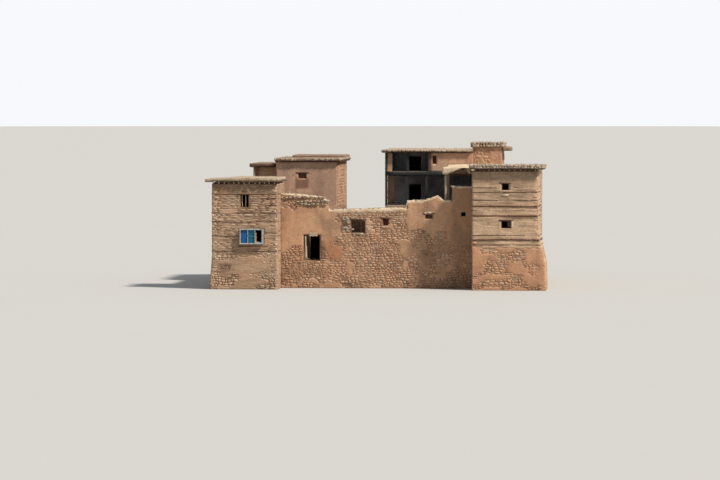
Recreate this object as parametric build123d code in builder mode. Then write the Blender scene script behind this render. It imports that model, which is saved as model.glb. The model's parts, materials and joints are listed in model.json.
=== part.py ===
from build123d import *
import os

# A fortified farmhouse of rubble stone and mud: two corner towers in front, a ruined curtain wall
# set back between them, and taller blocks behind a courtyard. Millimetres, +Z up. The front faces
# -Y. The origin is on the ground, under the middle of the roofs' outer edges.

# Wall thicknesses
tower_wall = 650
curtain_wall = 600
house_wall = 550

# Left tower
lt_width = 5240
lt_depth = 4600
lt_lower_floor = 2700
lt_lower_storey = 3050
lt_upper_storey = 2700
lt_foot_spread = 240
lt_foot_height = 2700
lt_side_eave = 570
lt_inner_eave = 240
lt_front_eave = 330
lt_roof_left_thickness = 210
lt_roof_crown_thickness = 430
lt_roof_right_thickness = 370
lt_roof_crown_from_left = 2500

# Right tower
rt_width = 5180
rt_depth = 3800
rt_lower_floor = 4350
rt_lower_storey = 2600
rt_upper_storey = 2550
rt_foot_spread = 680
rt_foot_profile = ((4800, 80), (3600, 280), (2800, 480), (2240, 600))
rt_side_eave = 560
rt_inner_eave = 250
rt_front_eave = 430
rt_roof_earth_thickness = 370

# Floors and roofs
floor_thickness = 280
pole_across = 160
pole_spacing = 520
back_eave = 350
edge_round = 45

# Plan
curtain_setback = 2500
compound_depth = 20500
side_inset = 500
yard_level = 2330

# Projecting window of the left tower
window_from_edge = 2260
window_width = 1890
window_above_floor = 940
window_height = 1240
window_projection = 370
window_bar = 90
window_mullion = 45
window_seat = 160
window_panel = 35

# Loophole of the left tower
loophole_from_edge = 2280
loophole_width = 680
loophole_above_floor = 850
loophole_height = 1000
loophole_bar = 45
loophole_bar_inset = 135
loophole_bar_spacing = 285

# Windows of the right tower
upper_window_from_edge = 2360
upper_window_width = 560
upper_window_above_floor = 1050
upper_window_height = 540
middle_window_from_edge = 2320
middle_window_width = 780
middle_window_above_floor = 610
middle_window_height = 600
middle_window_board = 280
small_frame_bar = 45
small_frame_depth = 120

# Openings of the curtain wall, each from the start of its own length of wall
broken_window_from_start = 2510
broken_window_width = 1130
broken_window_sill = 4470
broken_window_height = 1050
mullion_from_left = 760
niche_from_start = 5055
niche_top_width = 525
niche_bottom_width = 360
niche_sill = 5070
niche_height = 570
slot_from_start = 1500
slot_width = 570
slot_sill = 5640
slot_height = 320
hole_from_start = 730
hole_width = 360
hole_sill = 5840
hole_height = 320

# Door in the curtain wall
door_from_tower = 1970
door_width = 1150
door_height = 1850
jamb_width = 90
frame_depth = 130
frame_bar_height = 110
socket_reach = 80
leaf_thickness = 45
leaf_gap = 8
leaf_lap = 25
leaf_rest_angle = 76
pivot_radius = 16
pivot_length = 60
pivot_clearance = 1

# Lengths of the curtain wall to the right of the door, and the heights of its broken top
curtain_middle_width = 7030
curtain_right_width = 3650
curtain_end_width = 1770
curtain_left_top = 7610
curtain_over_door_top = 7490
curtain_door_right_top = 7330
curtain_step_from_start = 730
curtain_step_top = 6970
curtain_low_top = 6280
curtain_middle_end_top = 6480
curtain_raised_top = 7050
curtain_peak_from_start = 2440
curtain_peak_top = 7410
curtain_peak_left_run = 1060
curtain_peak_shoulder_run = 570
curtain_peak_shoulder_rise = 160
curtain_peak_right_run = 480
curtain_end_top = 8180

# Rear left block
side_wall_top = 5600
rl_front_setback = 12000
rl_room_from_edge = 3790
rl_room_width = 5100
rl_terrace_level = 7500
rl_parapet = 200
rl_room_height = 2520
rl_roof_thickness = 340
rl_eave = 350
rl_side_eave = 120
rl_top_layer_thickness = 200
rl_top_layer_depth = 4950
rl_top_layer_inset = 1000
rl_window_from_room_edge = 1880
rl_window_width = 630
rl_window_above_floor = 1150
rl_window_height = 410
rl_doorway_left_of_door = 770
rl_doorway_drop = 480
porch_width = 2040
porch_setback = 1000
porch_door_from_front = 3000
porch_height = 2050
porch_wall = 250
porch_roof_thickness = 350
porch_eave = 300
post_across = 180

# Doorways that the yard side needs
doorway_width = 1000
doorway_height = 1700
attic_doorway_height = 1200

# Rear right block
rr_front_setback = 9500
rr_width = 12460
veranda_depth = 2500
gallery_level = 6480
gallery_height = 2470
upper_floor_thickness = 350
upper_storey_height = 1530
upper_roof_thickness = 240
upper_roof_eave = 300
pier_from_edge = 3550
pier_width = 370
red_slot_width = 300
red_slot_above_floor = 630
red_slot_height = 650
upper_wall_end = 7240
high_room_width = 2400
high_room_depth = 3400
high_wall_rise = 490
high_roof_thickness = 410
high_roof_eave = 180
high_roof_lap = 90
high_ledge_reach = 720
high_ledge_thickness = 320

# Windows of the rear right block's rear wall
rear_window_from_edge = 4100
rear_window_width = 780
rear_window_above_floor = 900
rear_window_height = 600

# Right range, between the curtain wall and the rear right block
range_width = 2620
range_parapet = 420
range_roof_drop = 300
range_roof_thickness = 600
range_post_inset = 160
range_post_count = 3
range_break_from_edge = 380
range_break_width = 1500
range_break_depth = 900

# Levels worked out from the sizes
lt_upper_floor = lt_lower_floor + lt_lower_storey
lt_wall_top = lt_upper_floor + lt_upper_storey
window_sill = lt_lower_floor + window_above_floor
loophole_sill = lt_upper_floor + loophole_above_floor
rt_upper_floor = rt_lower_floor + rt_lower_storey
rt_wall_top = rt_upper_floor + rt_upper_storey
middle_window_sill = rt_lower_floor + middle_window_above_floor
upper_window_sill = rt_upper_floor + upper_window_above_floor
rl_wall_top = rl_terrace_level + rl_room_height
rl_window_sill = rl_terrace_level + rl_window_above_floor
porch_roof_bottom = rl_terrace_level + porch_height
gallery_floor_bottom = gallery_level - floor_thickness
upper_floor_bottom = gallery_level + gallery_height
upper_floor_top = upper_floor_bottom + upper_floor_thickness
upper_wall_top = upper_floor_top + upper_storey_height
red_slot_sill = upper_floor_top + red_slot_above_floor
high_wall_top = upper_wall_top + high_wall_rise
rear_window_sill = gallery_level + rear_window_above_floor
rear_window_top = rear_window_sill + rear_window_height
range_wall_top = gallery_level + range_parapet
range_roof_bottom = rt_wall_top - range_roof_drop

# Places worked out from the sizes
curtain_left_width = door_from_tower - jamb_width
curtain_door_width = door_width + 2 * jamb_width
curtain_length = (
    curtain_left_width + curtain_door_width + curtain_middle_width + curtain_right_width + curtain_end_width
)
overall_width = lt_side_eave + lt_width + curtain_length + rt_width + rt_foot_spread
overall_depth = rt_front_eave + compound_depth + back_eave
lt_left = -overall_width / 2 + lt_side_eave
lt_right = lt_left + lt_width
rt_left = lt_right + curtain_length
rt_right = rt_left + rt_width
front = -overall_depth / 2 + rt_front_eave
rear = front + compound_depth
curtain_front = front + curtain_setback
curtain_back = curtain_front + curtain_wall
lt_back = front + lt_depth
rt_back = front + rt_depth
side_right = rt_right - side_inset
rl_front = front + rl_front_setback
rl_room_left = lt_left + rl_room_from_edge
rl_room_right = rl_room_left + rl_room_width
rr_front = front + rr_front_setback
rr_left = side_right - rr_width
veranda_back = rr_front + veranda_depth
high_left = rr_left + upper_wall_end
high_right = high_left + high_room_width
range_left = rt_left - range_width
rear_inner = rear - house_wall


def facing_front(y):
    """Sketch plane seen from the front, X to the right and Z up."""
    return Plane.XZ.offset(-y)


def facing_side(x):
    """Sketch plane across the house, Y to the right and Z up."""
    return Plane.YZ.offset(x)


def level(z):
    """Horizontal sketch plane at a height."""
    return Plane.XY.offset(z)


def patch(a0, a1, b0, b1, mode=Mode.ADD):
    """Rectangle in the open sketch, given by its four edges."""
    with Locations(((a0 + a1) / 2, (b0 + b1) / 2)):
        Rectangle(a1 - a0, b1 - b0, mode=mode)


def keep(piece, label):
    """Names a finished piece and writes it."""
    piece.part.label = label
    export_step(piece.part, f"parts/{label}.step")


def slab(label, x0, x1, y0, y1, z0, thickness, rounded=0.0):
    """Flat slab with its top edges worn round."""
    with BuildPart() as piece:
        with BuildSketch(level(z0)):
            patch(x0, x1, y0, y1)
        extrude(amount=thickness)
        if rounded:
            fillet(piece.edges().group_by(Axis.Z)[-1], rounded)
    keep(piece, label)


def pole_row(label, x0, x1, y0, y1, z0):
    """Hewn roof poles laid front to back on the wall tops, evenly spaced between two sides."""
    count = int((x1 - x0) // pole_spacing) + 1
    pitch = (x1 - x0) / (count - 1)
    with BuildPart() as piece:
        with BuildSketch(facing_front(y0)):
            with Locations(*[(x0 + i * pitch, z0 + pole_across / 2) for i in range(count)]):
                RegularPolygon(pole_across / 2, 8, major_radius=False, rotation=22.5)
        extrude(amount=-(y1 - y0))
    keep(piece, label)


def floors(label, x0, x1, y0, y1, *tops):
    """Earth floors of a tower, one below each window row."""
    with BuildPart() as piece:
        for top in tops:
            with BuildSketch(level(top - floor_thickness)):
                patch(x0, x1, y0, y1)
            extrude(amount=floor_thickness)
    keep(piece, label)


os.makedirs("parts", exist_ok=True)

# Left tower walls
lt_outline = [
    (lt_left - lt_foot_spread, 0),
    (lt_right, 0),
    (lt_right, lt_wall_top),
    (lt_left, lt_wall_top),
    (lt_left, lt_foot_height),
]
window_left = lt_left + window_from_edge
window_right = window_left + window_width
window_top = window_sill + window_height
loophole_left = lt_left + loophole_from_edge
loophole_right = loophole_left + loophole_width
loophole_top = loophole_sill + loophole_height

with BuildPart() as lt_front_wall:
    with BuildSketch(facing_front(front)):
        Polygon(*lt_outline, align=None)
        patch(window_left, window_right, window_sill, window_top, Mode.SUBTRACT)
        patch(loophole_left, loophole_right, loophole_sill, loophole_top, Mode.SUBTRACT)
    extrude(amount=-tower_wall)
keep(lt_front_wall, "lt_front_wall")

lt_doorway_middle = (lt_left + lt_right) / 2
with BuildPart() as lt_back_wall:
    with BuildSketch(facing_front(lt_back - tower_wall)):
        Polygon(*lt_outline, align=None)
        patch(
            lt_doorway_middle - doorway_width / 2,
            lt_doorway_middle + doorway_width / 2,
            lt_lower_floor,
            lt_lower_floor + doorway_height,
            Mode.SUBTRACT,
        )
    extrude(amount=-tower_wall)
keep(lt_back_wall, "lt_back_wall")

lt_middle_y = (front + lt_back) / 2
with BuildPart() as lt_left_wall:
    with BuildSketch(facing_front(front + tower_wall)):
        Polygon(
            (lt_left - lt_foot_spread, 0),
            (lt_left + tower_wall, 0),
            (lt_left + tower_wall, lt_wall_top),
            (lt_left, lt_wall_top),
            (lt_left, lt_foot_height),
            align=None,
        )
    extrude(amount=-(lt_depth - 2 * tower_wall))
    with BuildSketch(facing_side(lt_left)):
        patch(
            lt_middle_y - loophole_width / 2,
            lt_middle_y + loophole_width / 2,
            loophole_sill,
            loophole_top,
        )
    extrude(amount=tower_wall, mode=Mode.SUBTRACT)
keep(lt_left_wall, "lt_left_wall")

slab(
    "lt_right_wall",
    lt_right - tower_wall,
    lt_right,
    front + tower_wall,
    lt_back - tower_wall,
    0,
    lt_wall_top,
)

# Left tower floors and roof
floors(
    "lt_floors",
    lt_left + tower_wall,
    lt_right - tower_wall,
    front + tower_wall,
    lt_back - tower_wall,
    lt_lower_floor,
    lt_upper_floor,
)
pole_row(
    "lt_roof_poles",
    lt_left + pole_across,
    lt_right - pole_across,
    front - lt_front_eave + edge_round,
    lt_back + lt_front_eave - edge_round,
    lt_wall_top,
)
lt_roof_foot = lt_wall_top + pole_across
lt_roof_left = lt_left - lt_side_eave
lt_roof_right = lt_right + lt_inner_eave
with BuildPart() as lt_roof_earth:
    with BuildSketch(facing_front(front - lt_front_eave)) as profile:
        Polygon(
            (lt_roof_left, lt_roof_foot),
            (lt_roof_right, lt_roof_foot),
            (lt_roof_right, lt_roof_foot + lt_roof_right_thickness),
            (lt_roof_left + lt_roof_crown_from_left, lt_roof_foot + lt_roof_crown_thickness),
            (lt_roof_left, lt_roof_foot + lt_roof_left_thickness),
            align=None,
        )
        fillet(profile.vertices().sort_by(Axis.Y)[-3:], edge_round)
    extrude(amount=-(lt_depth + 2 * lt_front_eave))
keep(lt_roof_earth, "lt_roof_earth")

# Projecting window box of the left tower
frame_front = front - window_projection
frame_seat = front + window_seat
inner_left = window_left + window_bar
inner_right = window_right - window_bar
light_width = (inner_right - inner_left - 2 * window_mullion) / 3
with BuildPart() as lt_window_frame:
    with BuildSketch(facing_front(frame_front)):
        patch(window_left, window_right, window_sill, window_top)
        for i in range(3):
            left = inner_left + i * (light_width + window_mullion)
            patch(left, left + light_width, window_sill + window_bar, window_top - window_bar, Mode.SUBTRACT)
    extrude(amount=-(frame_seat - frame_front))
keep(lt_window_frame, "lt_window_frame")

panel_front = frame_front + window_bar
for index, label in enumerate(("lt_window_shutter", "lt_window_lattice")):
    left = inner_left + index * (light_width + window_mullion)
    with BuildPart() as panel:
        with BuildSketch(facing_front(panel_front)):
            patch(left, left + light_width, window_sill + window_bar, window_top - window_bar)
        extrude(amount=-window_panel)
    keep(panel, label)

# Two upright wooden bars in the loophole
with BuildPart() as lt_loophole_bars:
    with BuildSketch(level(loophole_sill)):
        bar_x = loophole_left + loophole_bar_inset
        bar_y = front + tower_wall / 3
        with Locations((bar_x, bar_y), (bar_x + loophole_bar_spacing, bar_y)):
            Rectangle(loophole_bar, loophole_bar)
    extrude(amount=loophole_height)
keep(lt_loophole_bars, "lt_loophole_bars")

# Right tower walls, with a foot that flares to the right
rt_flare = [(rt_right + spread, z) for z, spread in ((0, rt_foot_spread), *reversed(rt_foot_profile))]
rt_outline = [(rt_left, 0), *rt_flare, (rt_right, rt_wall_top), (rt_left, rt_wall_top)]
upper_left = rt_left + upper_window_from_edge
upper_right = upper_left + upper_window_width
middle_left = rt_left + middle_window_from_edge
middle_right = middle_left + middle_window_width
upper_window_top = upper_window_sill + upper_window_height
middle_window_top = middle_window_sill + middle_window_height

with BuildPart() as rt_front_wall:
    with BuildSketch(facing_front(front)):
        Polygon(*rt_outline, align=None)
        patch(upper_left, upper_right, upper_window_sill, upper_window_top, Mode.SUBTRACT)
        patch(middle_left, middle_right, middle_window_sill, middle_window_top, Mode.SUBTRACT)
    extrude(amount=-tower_wall)
keep(rt_front_wall, "rt_front_wall")

rt_doorway_middle = (rt_left + rt_right) / 2
with BuildPart() as rt_back_wall:
    with BuildSketch(facing_front(rt_back - tower_wall)):
        Polygon(*rt_outline, align=None)
        patch(
            rt_doorway_middle - doorway_width / 2,
            rt_doorway_middle + doorway_width / 2,
            yard_level,
            yard_level + doorway_height,
            Mode.SUBTRACT,
        )
    extrude(amount=-tower_wall)
keep(rt_back_wall, "rt_back_wall")

rt_middle_y = (front + rt_back) / 2
with BuildPart() as rt_right_wall:
    with BuildSketch(facing_front(front + tower_wall)):
        Polygon(
            (rt_right - tower_wall, 0),
            *rt_flare,
            (rt_right, rt_wall_top),
            (rt_right - tower_wall, rt_wall_top),
            align=None,
        )
    extrude(amount=-(rt_depth - 2 * tower_wall))
    with BuildSketch(facing_side(rt_right - tower_wall)):
        patch(
            rt_middle_y - upper_window_width / 2,
            rt_middle_y + upper_window_width / 2,
            upper_window_sill,
            upper_window_top,
        )
    extrude(amount=tower_wall + rt_foot_spread, mode=Mode.SUBTRACT)
keep(rt_right_wall, "rt_right_wall")

slab("rt_left_wall", rt_left, rt_left + tower_wall, front + tower_wall, rt_back - tower_wall, 0, rt_wall_top)

# Right tower floors and roof
floors(
    "rt_floors",
    rt_left + tower_wall,
    rt_right - tower_wall,
    front + tower_wall,
    rt_back - tower_wall,
    rt_lower_floor,
    rt_upper_floor,
)
pole_row(
    "rt_roof_poles",
    rt_left + pole_across,
    rt_right - pole_across,
    front - rt_front_eave + edge_round,
    rt_back + rt_inner_eave - edge_round,
    rt_wall_top,
)
slab(
    "rt_roof_earth",
    rt_left - rt_inner_eave,
    rt_right + rt_side_eave,
    front - rt_front_eave,
    rt_back + rt_inner_eave,
    rt_wall_top + pole_across,
    rt_roof_earth_thickness,
    edge_round,
)

# Small frames in the right tower's windows, the middle one half closed by a board
with BuildPart() as rt_window_frames:
    frame_set = front + tower_wall / 3
    for left, right, sill, top in (
        (upper_left, upper_right, upper_window_sill, upper_window_top),
        (middle_left, middle_right, middle_window_sill, middle_window_top),
    ):
        with BuildSketch(facing_front(frame_set)):
            patch(left, right, sill, top)
            patch(
                left + small_frame_bar,
                right - small_frame_bar,
                sill + small_frame_bar,
                top - small_frame_bar,
                Mode.SUBTRACT,
            )
        extrude(amount=-small_frame_depth)
    with BuildSketch(facing_front(frame_set)):
        patch(
            middle_right - middle_window_board,
            middle_right - small_frame_bar,
            middle_window_sill + small_frame_bar,
            middle_window_top - small_frame_bar,
        )
    extrude(amount=-window_panel)
keep(rt_window_frames, "rt_window_frames")

# Curtain wall, split beside, over and under the door
door_left = lt_right + door_from_tower
door_right = door_left + door_width
door_top = yard_level + door_height
frame_top = door_top + frame_bar_height
frame_foot = yard_level - frame_bar_height
frame_left = door_left - jamb_width
frame_right = door_right + jamb_width


def curtain_piece(label, outline, holes=()):
    """One length of the curtain wall; holes are closed outlines."""
    with BuildPart() as piece:
        with BuildSketch(facing_front(curtain_front)):
            Polygon(*outline, align=None)
            for hole in holes:
                Polygon(*hole, align=None, mode=Mode.SUBTRACT)
        extrude(amount=-curtain_wall)
    keep(piece, label)


def box_outline(x0, x1, z0, z1):
    """Corners of an upright rectangle."""
    return [(x0, z0), (x1, z0), (x1, z1), (x0, z1)]


curtain_piece(
    "curtain_left_wall",
    [
        (lt_right, 0),
        (frame_left, 0),
        (frame_left, curtain_over_door_top),
        (lt_right, curtain_left_top),
    ],
)
curtain_piece(
    "curtain_over_door",
    [
        (frame_left, frame_top),
        (frame_right, frame_top),
        (frame_right, curtain_door_right_top),
        (frame_left, curtain_over_door_top),
    ],
)
curtain_piece("curtain_under_door", box_outline(frame_left, frame_right, 0, frame_foot))

broken_left = frame_right + broken_window_from_start
broken_right = broken_left + broken_window_width
broken_top = broken_window_sill + broken_window_height
niche_left = frame_right + niche_from_start
niche_inset = (niche_top_width - niche_bottom_width) / 2
middle_end = frame_right + curtain_middle_width
step_x = frame_right + curtain_step_from_start
curtain_piece(
    "curtain_middle_wall",
    [
        (frame_right, 0),
        (middle_end, 0),
        (middle_end, curtain_middle_end_top),
        (step_x, curtain_low_top),
        (step_x, curtain_step_top),
        (frame_right, curtain_door_right_top),
    ],
    [
        box_outline(broken_left, broken_right, broken_window_sill, broken_top),
        [
            (niche_left + niche_inset, niche_sill),
            (niche_left + niche_top_width - niche_inset, niche_sill),
            (niche_left + niche_top_width, niche_sill + niche_height),
            (niche_left, niche_sill + niche_height),
        ],
    ],
)

slot_left = middle_end + slot_from_start
raised_end = middle_end + curtain_right_width
peak_x = middle_end + curtain_peak_from_start
curtain_piece(
    "curtain_right_wall",
    [
        (middle_end, 0),
        (raised_end, 0),
        (raised_end, curtain_raised_top),
        (peak_x + curtain_peak_right_run, curtain_raised_top),
        (peak_x, curtain_peak_top),
        (peak_x - curtain_peak_shoulder_run, curtain_raised_top + curtain_peak_shoulder_rise),
        (peak_x - curtain_peak_left_run, curtain_raised_top),
        (middle_end, curtain_raised_top),
    ],
    [box_outline(slot_left, slot_left + slot_width, slot_sill, slot_sill + slot_height)],
)

hole_left = raised_end + hole_from_start
curtain_piece(
    "curtain_end_wall",
    box_outline(raised_end, rt_left, 0, curtain_end_top),
    [box_outline(hole_left, hole_left + hole_width, hole_sill, hole_sill + hole_height)],
)

# Broken window: sill, head, two side posts and one leaning mullion left of its frame
with BuildPart() as broken_window_frame:
    with BuildSketch(facing_front(curtain_front + curtain_wall / 3)):
        patch(broken_left, broken_right, broken_window_sill, broken_top)
        patch(
            broken_left + small_frame_bar,
            broken_left + mullion_from_left,
            broken_window_sill + small_frame_bar,
            broken_top - small_frame_bar,
            Mode.SUBTRACT,
        )
        patch(
            broken_left + mullion_from_left + small_frame_bar,
            broken_right - small_frame_bar,
            broken_window_sill + small_frame_bar,
            broken_top - small_frame_bar,
            Mode.SUBTRACT,
        )
    extrude(amount=-small_frame_depth)
keep(broken_window_frame, "broken_window_frame")

# Door frame on the yard side of the wall; head and sill reach inward to hold the leaf's pivots
frame_y = curtain_back - frame_depth
socket_y = curtain_back + leaf_gap + leaf_thickness / 2
pivot_x = door_left - leaf_lap
leaf_foot = yard_level + leaf_gap
leaf_top = door_top - leaf_gap
socket_radius = pivot_radius + pivot_clearance

with BuildPart() as door_jambs:
    with BuildSketch(level(yard_level)):
        patch(frame_left, door_left, frame_y, curtain_back)
        patch(door_right, frame_right, frame_y, curtain_back)
    extrude(amount=door_height)
keep(door_jambs, "door_jambs")

for label, bar_foot in (("door_sill", frame_foot), ("door_head", door_top)):
    with BuildPart() as bar:
        with BuildSketch(level(bar_foot)):
            patch(frame_left, frame_right, frame_y, curtain_back + socket_reach)
            with Locations((pivot_x, socket_y)):
                Circle(socket_radius, mode=Mode.SUBTRACT)
        extrude(amount=frame_bar_height)
    keep(bar, label)

# Plank leaf with a rounded pivot stile, standing open into the yard
leaf_length = door_width + 2 * leaf_lap
with BuildPart() as door_leaf:
    with BuildSketch(level(leaf_foot)):
        Circle(leaf_thickness / 2)
        patch(0, leaf_length, -leaf_thickness / 2, leaf_thickness / 2)
    extrude(amount=leaf_top - leaf_foot)
    with BuildSketch(level(leaf_foot - pivot_length)):
        Circle(pivot_radius)
    extrude(amount=leaf_top - leaf_foot + 2 * pivot_length)
door_leaf.part = door_leaf.part.rotate(Axis.Z, leaf_rest_angle).translate((pivot_x, socket_y, 0))
keep(door_leaf, "door_leaf")

# Rear left block: walls of the lower storey, upper room and terrace
rl_parapet_top = rl_terrace_level + rl_parapet
rl_window_left = rl_room_left + rl_window_from_room_edge
rl_doorway_middle = (door_left + door_right) / 2 - rl_doorway_left_of_door
rl_doorway_foot = yard_level - rl_doorway_drop
with BuildPart() as rl_front_wall:
    with BuildSketch(facing_front(rl_front)):
        Polygon(
            (lt_left, 0),
            (rl_room_right, 0),
            (rl_room_right, rl_wall_top),
            (rl_room_left, rl_wall_top),
            (rl_room_left, rl_parapet_top),
            (lt_left, rl_parapet_top),
            align=None,
        )
        patch(
            rl_window_left,
            rl_window_left + rl_window_width,
            rl_window_sill,
            rl_window_sill + rl_window_height,
            Mode.SUBTRACT,
        )
        patch(
            rl_doorway_middle - doorway_width / 2,
            rl_doorway_middle + doorway_width / 2,
            rl_doorway_foot,
            yard_level + doorway_height,
            Mode.SUBTRACT,
        )
    extrude(amount=-house_wall)
keep(rl_front_wall, "rl_front_wall")

slab(
    "rl_right_wall",
    rl_room_right - house_wall,
    rl_room_right,
    rl_front + house_wall,
    rear_inner,
    0,
    rl_wall_top,
)

porch_door_y = rl_front + porch_door_from_front
with BuildPart() as rl_room_wall:
    with BuildSketch(facing_side(rl_room_left)):
        patch(rl_front + house_wall, rear_inner, rl_terrace_level, rl_wall_top)
        patch(
            porch_door_y,
            porch_door_y + doorway_width,
            rl_terrace_level,
            rl_terrace_level + doorway_height,
            Mode.SUBTRACT,
        )
    extrude(amount=house_wall)
keep(rl_room_wall, "rl_room_wall")

slab(
    "rl_terrace",
    lt_left + house_wall,
    rl_room_right - house_wall,
    rl_front + house_wall,
    rear_inner,
    rl_terrace_level - floor_thickness,
    floor_thickness,
)

rl_roof_left = rl_room_left - rl_side_eave
rl_roof_right = rl_room_right + rl_eave
with BuildPart() as rl_roof:
    with BuildSketch(level(rl_wall_top)):
        patch(rl_roof_left, rl_roof_right, rl_front - rl_eave, rear + back_eave)
    extrude(amount=rl_roof_thickness)
    with BuildSketch(level(rl_wall_top + rl_roof_thickness)):
        patch(
            rl_roof_left + rl_top_layer_inset,
            rl_roof_right,
            rear + back_eave - rl_top_layer_depth,
            rear + back_eave,
        )
    extrude(amount=rl_top_layer_thickness)
keep(rl_roof, "rl_roof")

# Porch on the terrace, beside the upper room
porch_left = rl_room_left - porch_width
porch_front = rl_front + porch_setback
slab(
    "porch_post",
    porch_left,
    porch_left + post_across,
    porch_front,
    porch_front + post_across,
    rl_terrace_level,
    porch_height,
)
slab(
    "porch_side_wall",
    porch_left,
    porch_left + porch_wall,
    porch_front + post_across,
    rear_inner,
    rl_terrace_level,
    porch_height,
)

slab(
    "porch_roof",
    porch_left - porch_eave,
    rl_roof_left,
    porch_front - porch_eave,
    rear,
    porch_roof_bottom,
    porch_roof_thickness,
)

# Rear right block: gallery floor with a veranda, over a plain lower storey
rr_doorway_left = rr_left + pier_from_edge / 2
with BuildPart() as veranda_wall:
    with BuildSketch(facing_front(rr_front)):
        patch(rr_left, side_right - house_wall, 0, gallery_floor_bottom)
        patch(
            rr_doorway_left,
            rr_doorway_left + doorway_width,
            yard_level,
            yard_level + doorway_height,
            Mode.SUBTRACT,
        )
    extrude(amount=-house_wall)
keep(veranda_wall, "veranda_wall")

slab(
    "rr_left_wall",
    rr_left,
    rr_left + house_wall,
    rr_front + house_wall,
    rear_inner,
    0,
    gallery_floor_bottom,
)

with BuildPart() as gallery_floor:
    with BuildSketch(level(gallery_floor_bottom)):
        Polygon(
            (range_left + house_wall, curtain_back),
            (rt_left, curtain_back),
            (rt_left, rt_back),
            (side_right - house_wall, rt_back),
            (side_right - house_wall, rear_inner),
            (rr_left, rear_inner),
            (rr_left, rr_front),
            (range_left + house_wall, rr_front),
            align=None,
        )
    extrude(amount=floor_thickness)
keep(gallery_floor, "gallery_floor")

slab(
    "gallery_left_wall",
    rr_left,
    rr_left + house_wall,
    veranda_back,
    rear_inner,
    gallery_level,
    upper_floor_bottom - gallery_level,
)

with BuildPart() as gallery_back_wall:
    with BuildSketch(facing_front(veranda_back)):
        patch(rr_left + house_wall, side_right - house_wall, gallery_level, upper_floor_bottom)
        patch(
            rr_doorway_left,
            rr_doorway_left + doorway_width,
            gallery_level,
            gallery_level + doorway_height,
            Mode.SUBTRACT,
        )
    extrude(amount=-house_wall)
keep(gallery_back_wall, "gallery_back_wall")

slab("upper_floor", rr_left, side_right, rr_front, rear_inner, upper_floor_bottom, upper_floor_thickness)

# Upper storey of the rear right block: veranda, pier, narrow slot, lit wall
pier_left = rr_left + pier_from_edge
red_slot_left = pier_left + pier_width
red_slot_right = red_slot_left + red_slot_width
with BuildPart() as upper_front_wall:
    with BuildSketch(facing_front(rr_front)):
        patch(pier_left, high_left, upper_floor_top, upper_wall_top)
        patch(
            red_slot_left,
            red_slot_right,
            red_slot_sill,
            red_slot_sill + red_slot_height,
            Mode.SUBTRACT,
        )
    extrude(amount=-house_wall)
keep(upper_front_wall, "upper_front_wall")

slab(
    "red_shutter",
    red_slot_left,
    red_slot_right,
    rr_front + house_wall / 2,
    rr_front + house_wall / 2 + window_panel,
    red_slot_sill,
    red_slot_height,
)
slab(
    "upper_left_wall",
    rr_left,
    rr_left + house_wall,
    rr_front + post_across,
    rear_inner,
    upper_floor_top,
    upper_wall_top - upper_floor_top,
)
slab(
    "upper_right_wall",
    high_left - house_wall,
    high_left,
    rr_front + house_wall,
    rear_inner,
    upper_floor_top,
    upper_wall_top - upper_floor_top,
)
with BuildPart() as upper_back_wall:
    with BuildSketch(facing_front(veranda_back)):
        patch(rr_left + house_wall, high_left - house_wall, upper_floor_top, upper_wall_top)
        patch(
            rr_doorway_left,
            rr_doorway_left + doorway_width,
            upper_floor_top,
            upper_floor_top + attic_doorway_height,
            Mode.SUBTRACT,
        )
    extrude(amount=-house_wall)
keep(upper_back_wall, "upper_back_wall")

# Wooden posts of the veranda and of the open upper storey above it
veranda_post_pitch = (range_left - rr_left - post_across) / 3
upper_post_pitch = (pier_left - rr_left) / 2
with BuildPart() as veranda_posts:
    with BuildSketch(level(gallery_level)):
        for i in range(3):
            post_x = rr_left + i * veranda_post_pitch
            patch(post_x, post_x + post_across, rr_front, rr_front + post_across)
    extrude(amount=upper_floor_bottom - gallery_level)
    with BuildSketch(level(upper_floor_top)):
        for i in range(2):
            post_x = rr_left + i * upper_post_pitch
            patch(post_x, post_x + post_across, rr_front, rr_front + post_across)
    extrude(amount=upper_wall_top - upper_floor_top)
keep(veranda_posts, "veranda_posts")

slab(
    "upper_roof",
    rr_left - upper_roof_eave,
    high_left,
    rr_front - upper_roof_eave,
    rear + back_eave,
    upper_wall_top,
    upper_roof_thickness,
)

# Highest room
with BuildPart() as high_room_walls:
    with BuildSketch(level(upper_floor_top)):
        patch(high_left, high_right, rr_front, rr_front + high_room_depth)
        patch(
            high_left + house_wall,
            high_right - house_wall,
            rr_front + house_wall,
            rr_front + high_room_depth - house_wall,
            Mode.SUBTRACT,
        )
    extrude(amount=high_wall_top - upper_floor_top)
    with BuildSketch(facing_front(rr_front + high_room_depth - house_wall)):
        patch(
            (high_left + high_right - doorway_width) / 2,
            (high_left + high_right + doorway_width) / 2,
            upper_floor_top,
            upper_floor_top + doorway_height,
        )
    extrude(amount=-house_wall, mode=Mode.SUBTRACT)
keep(high_room_walls, "high_room_walls")

# Its roof, with a lower ledge of roof built against its right wall
high_roof_top = high_wall_top + high_roof_thickness
ledge_right = high_right + high_ledge_reach
with BuildPart() as high_room_roof:
    with BuildSketch(facing_front(rr_front - high_roof_eave)):
        Polygon(
            (high_left - high_roof_eave, high_wall_top),
            (high_right, high_wall_top),
            (high_right, high_wall_top - high_ledge_thickness),
            (ledge_right, high_wall_top - high_ledge_thickness),
            (ledge_right, high_wall_top),
            (high_right + high_roof_lap, high_wall_top),
            (high_right + high_roof_lap, high_roof_top),
            (high_left - high_roof_eave, high_roof_top),
            align=None,
        )
    extrude(amount=-(high_room_depth + 2 * high_roof_eave))
keep(high_room_roof, "high_room_roof")

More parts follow.
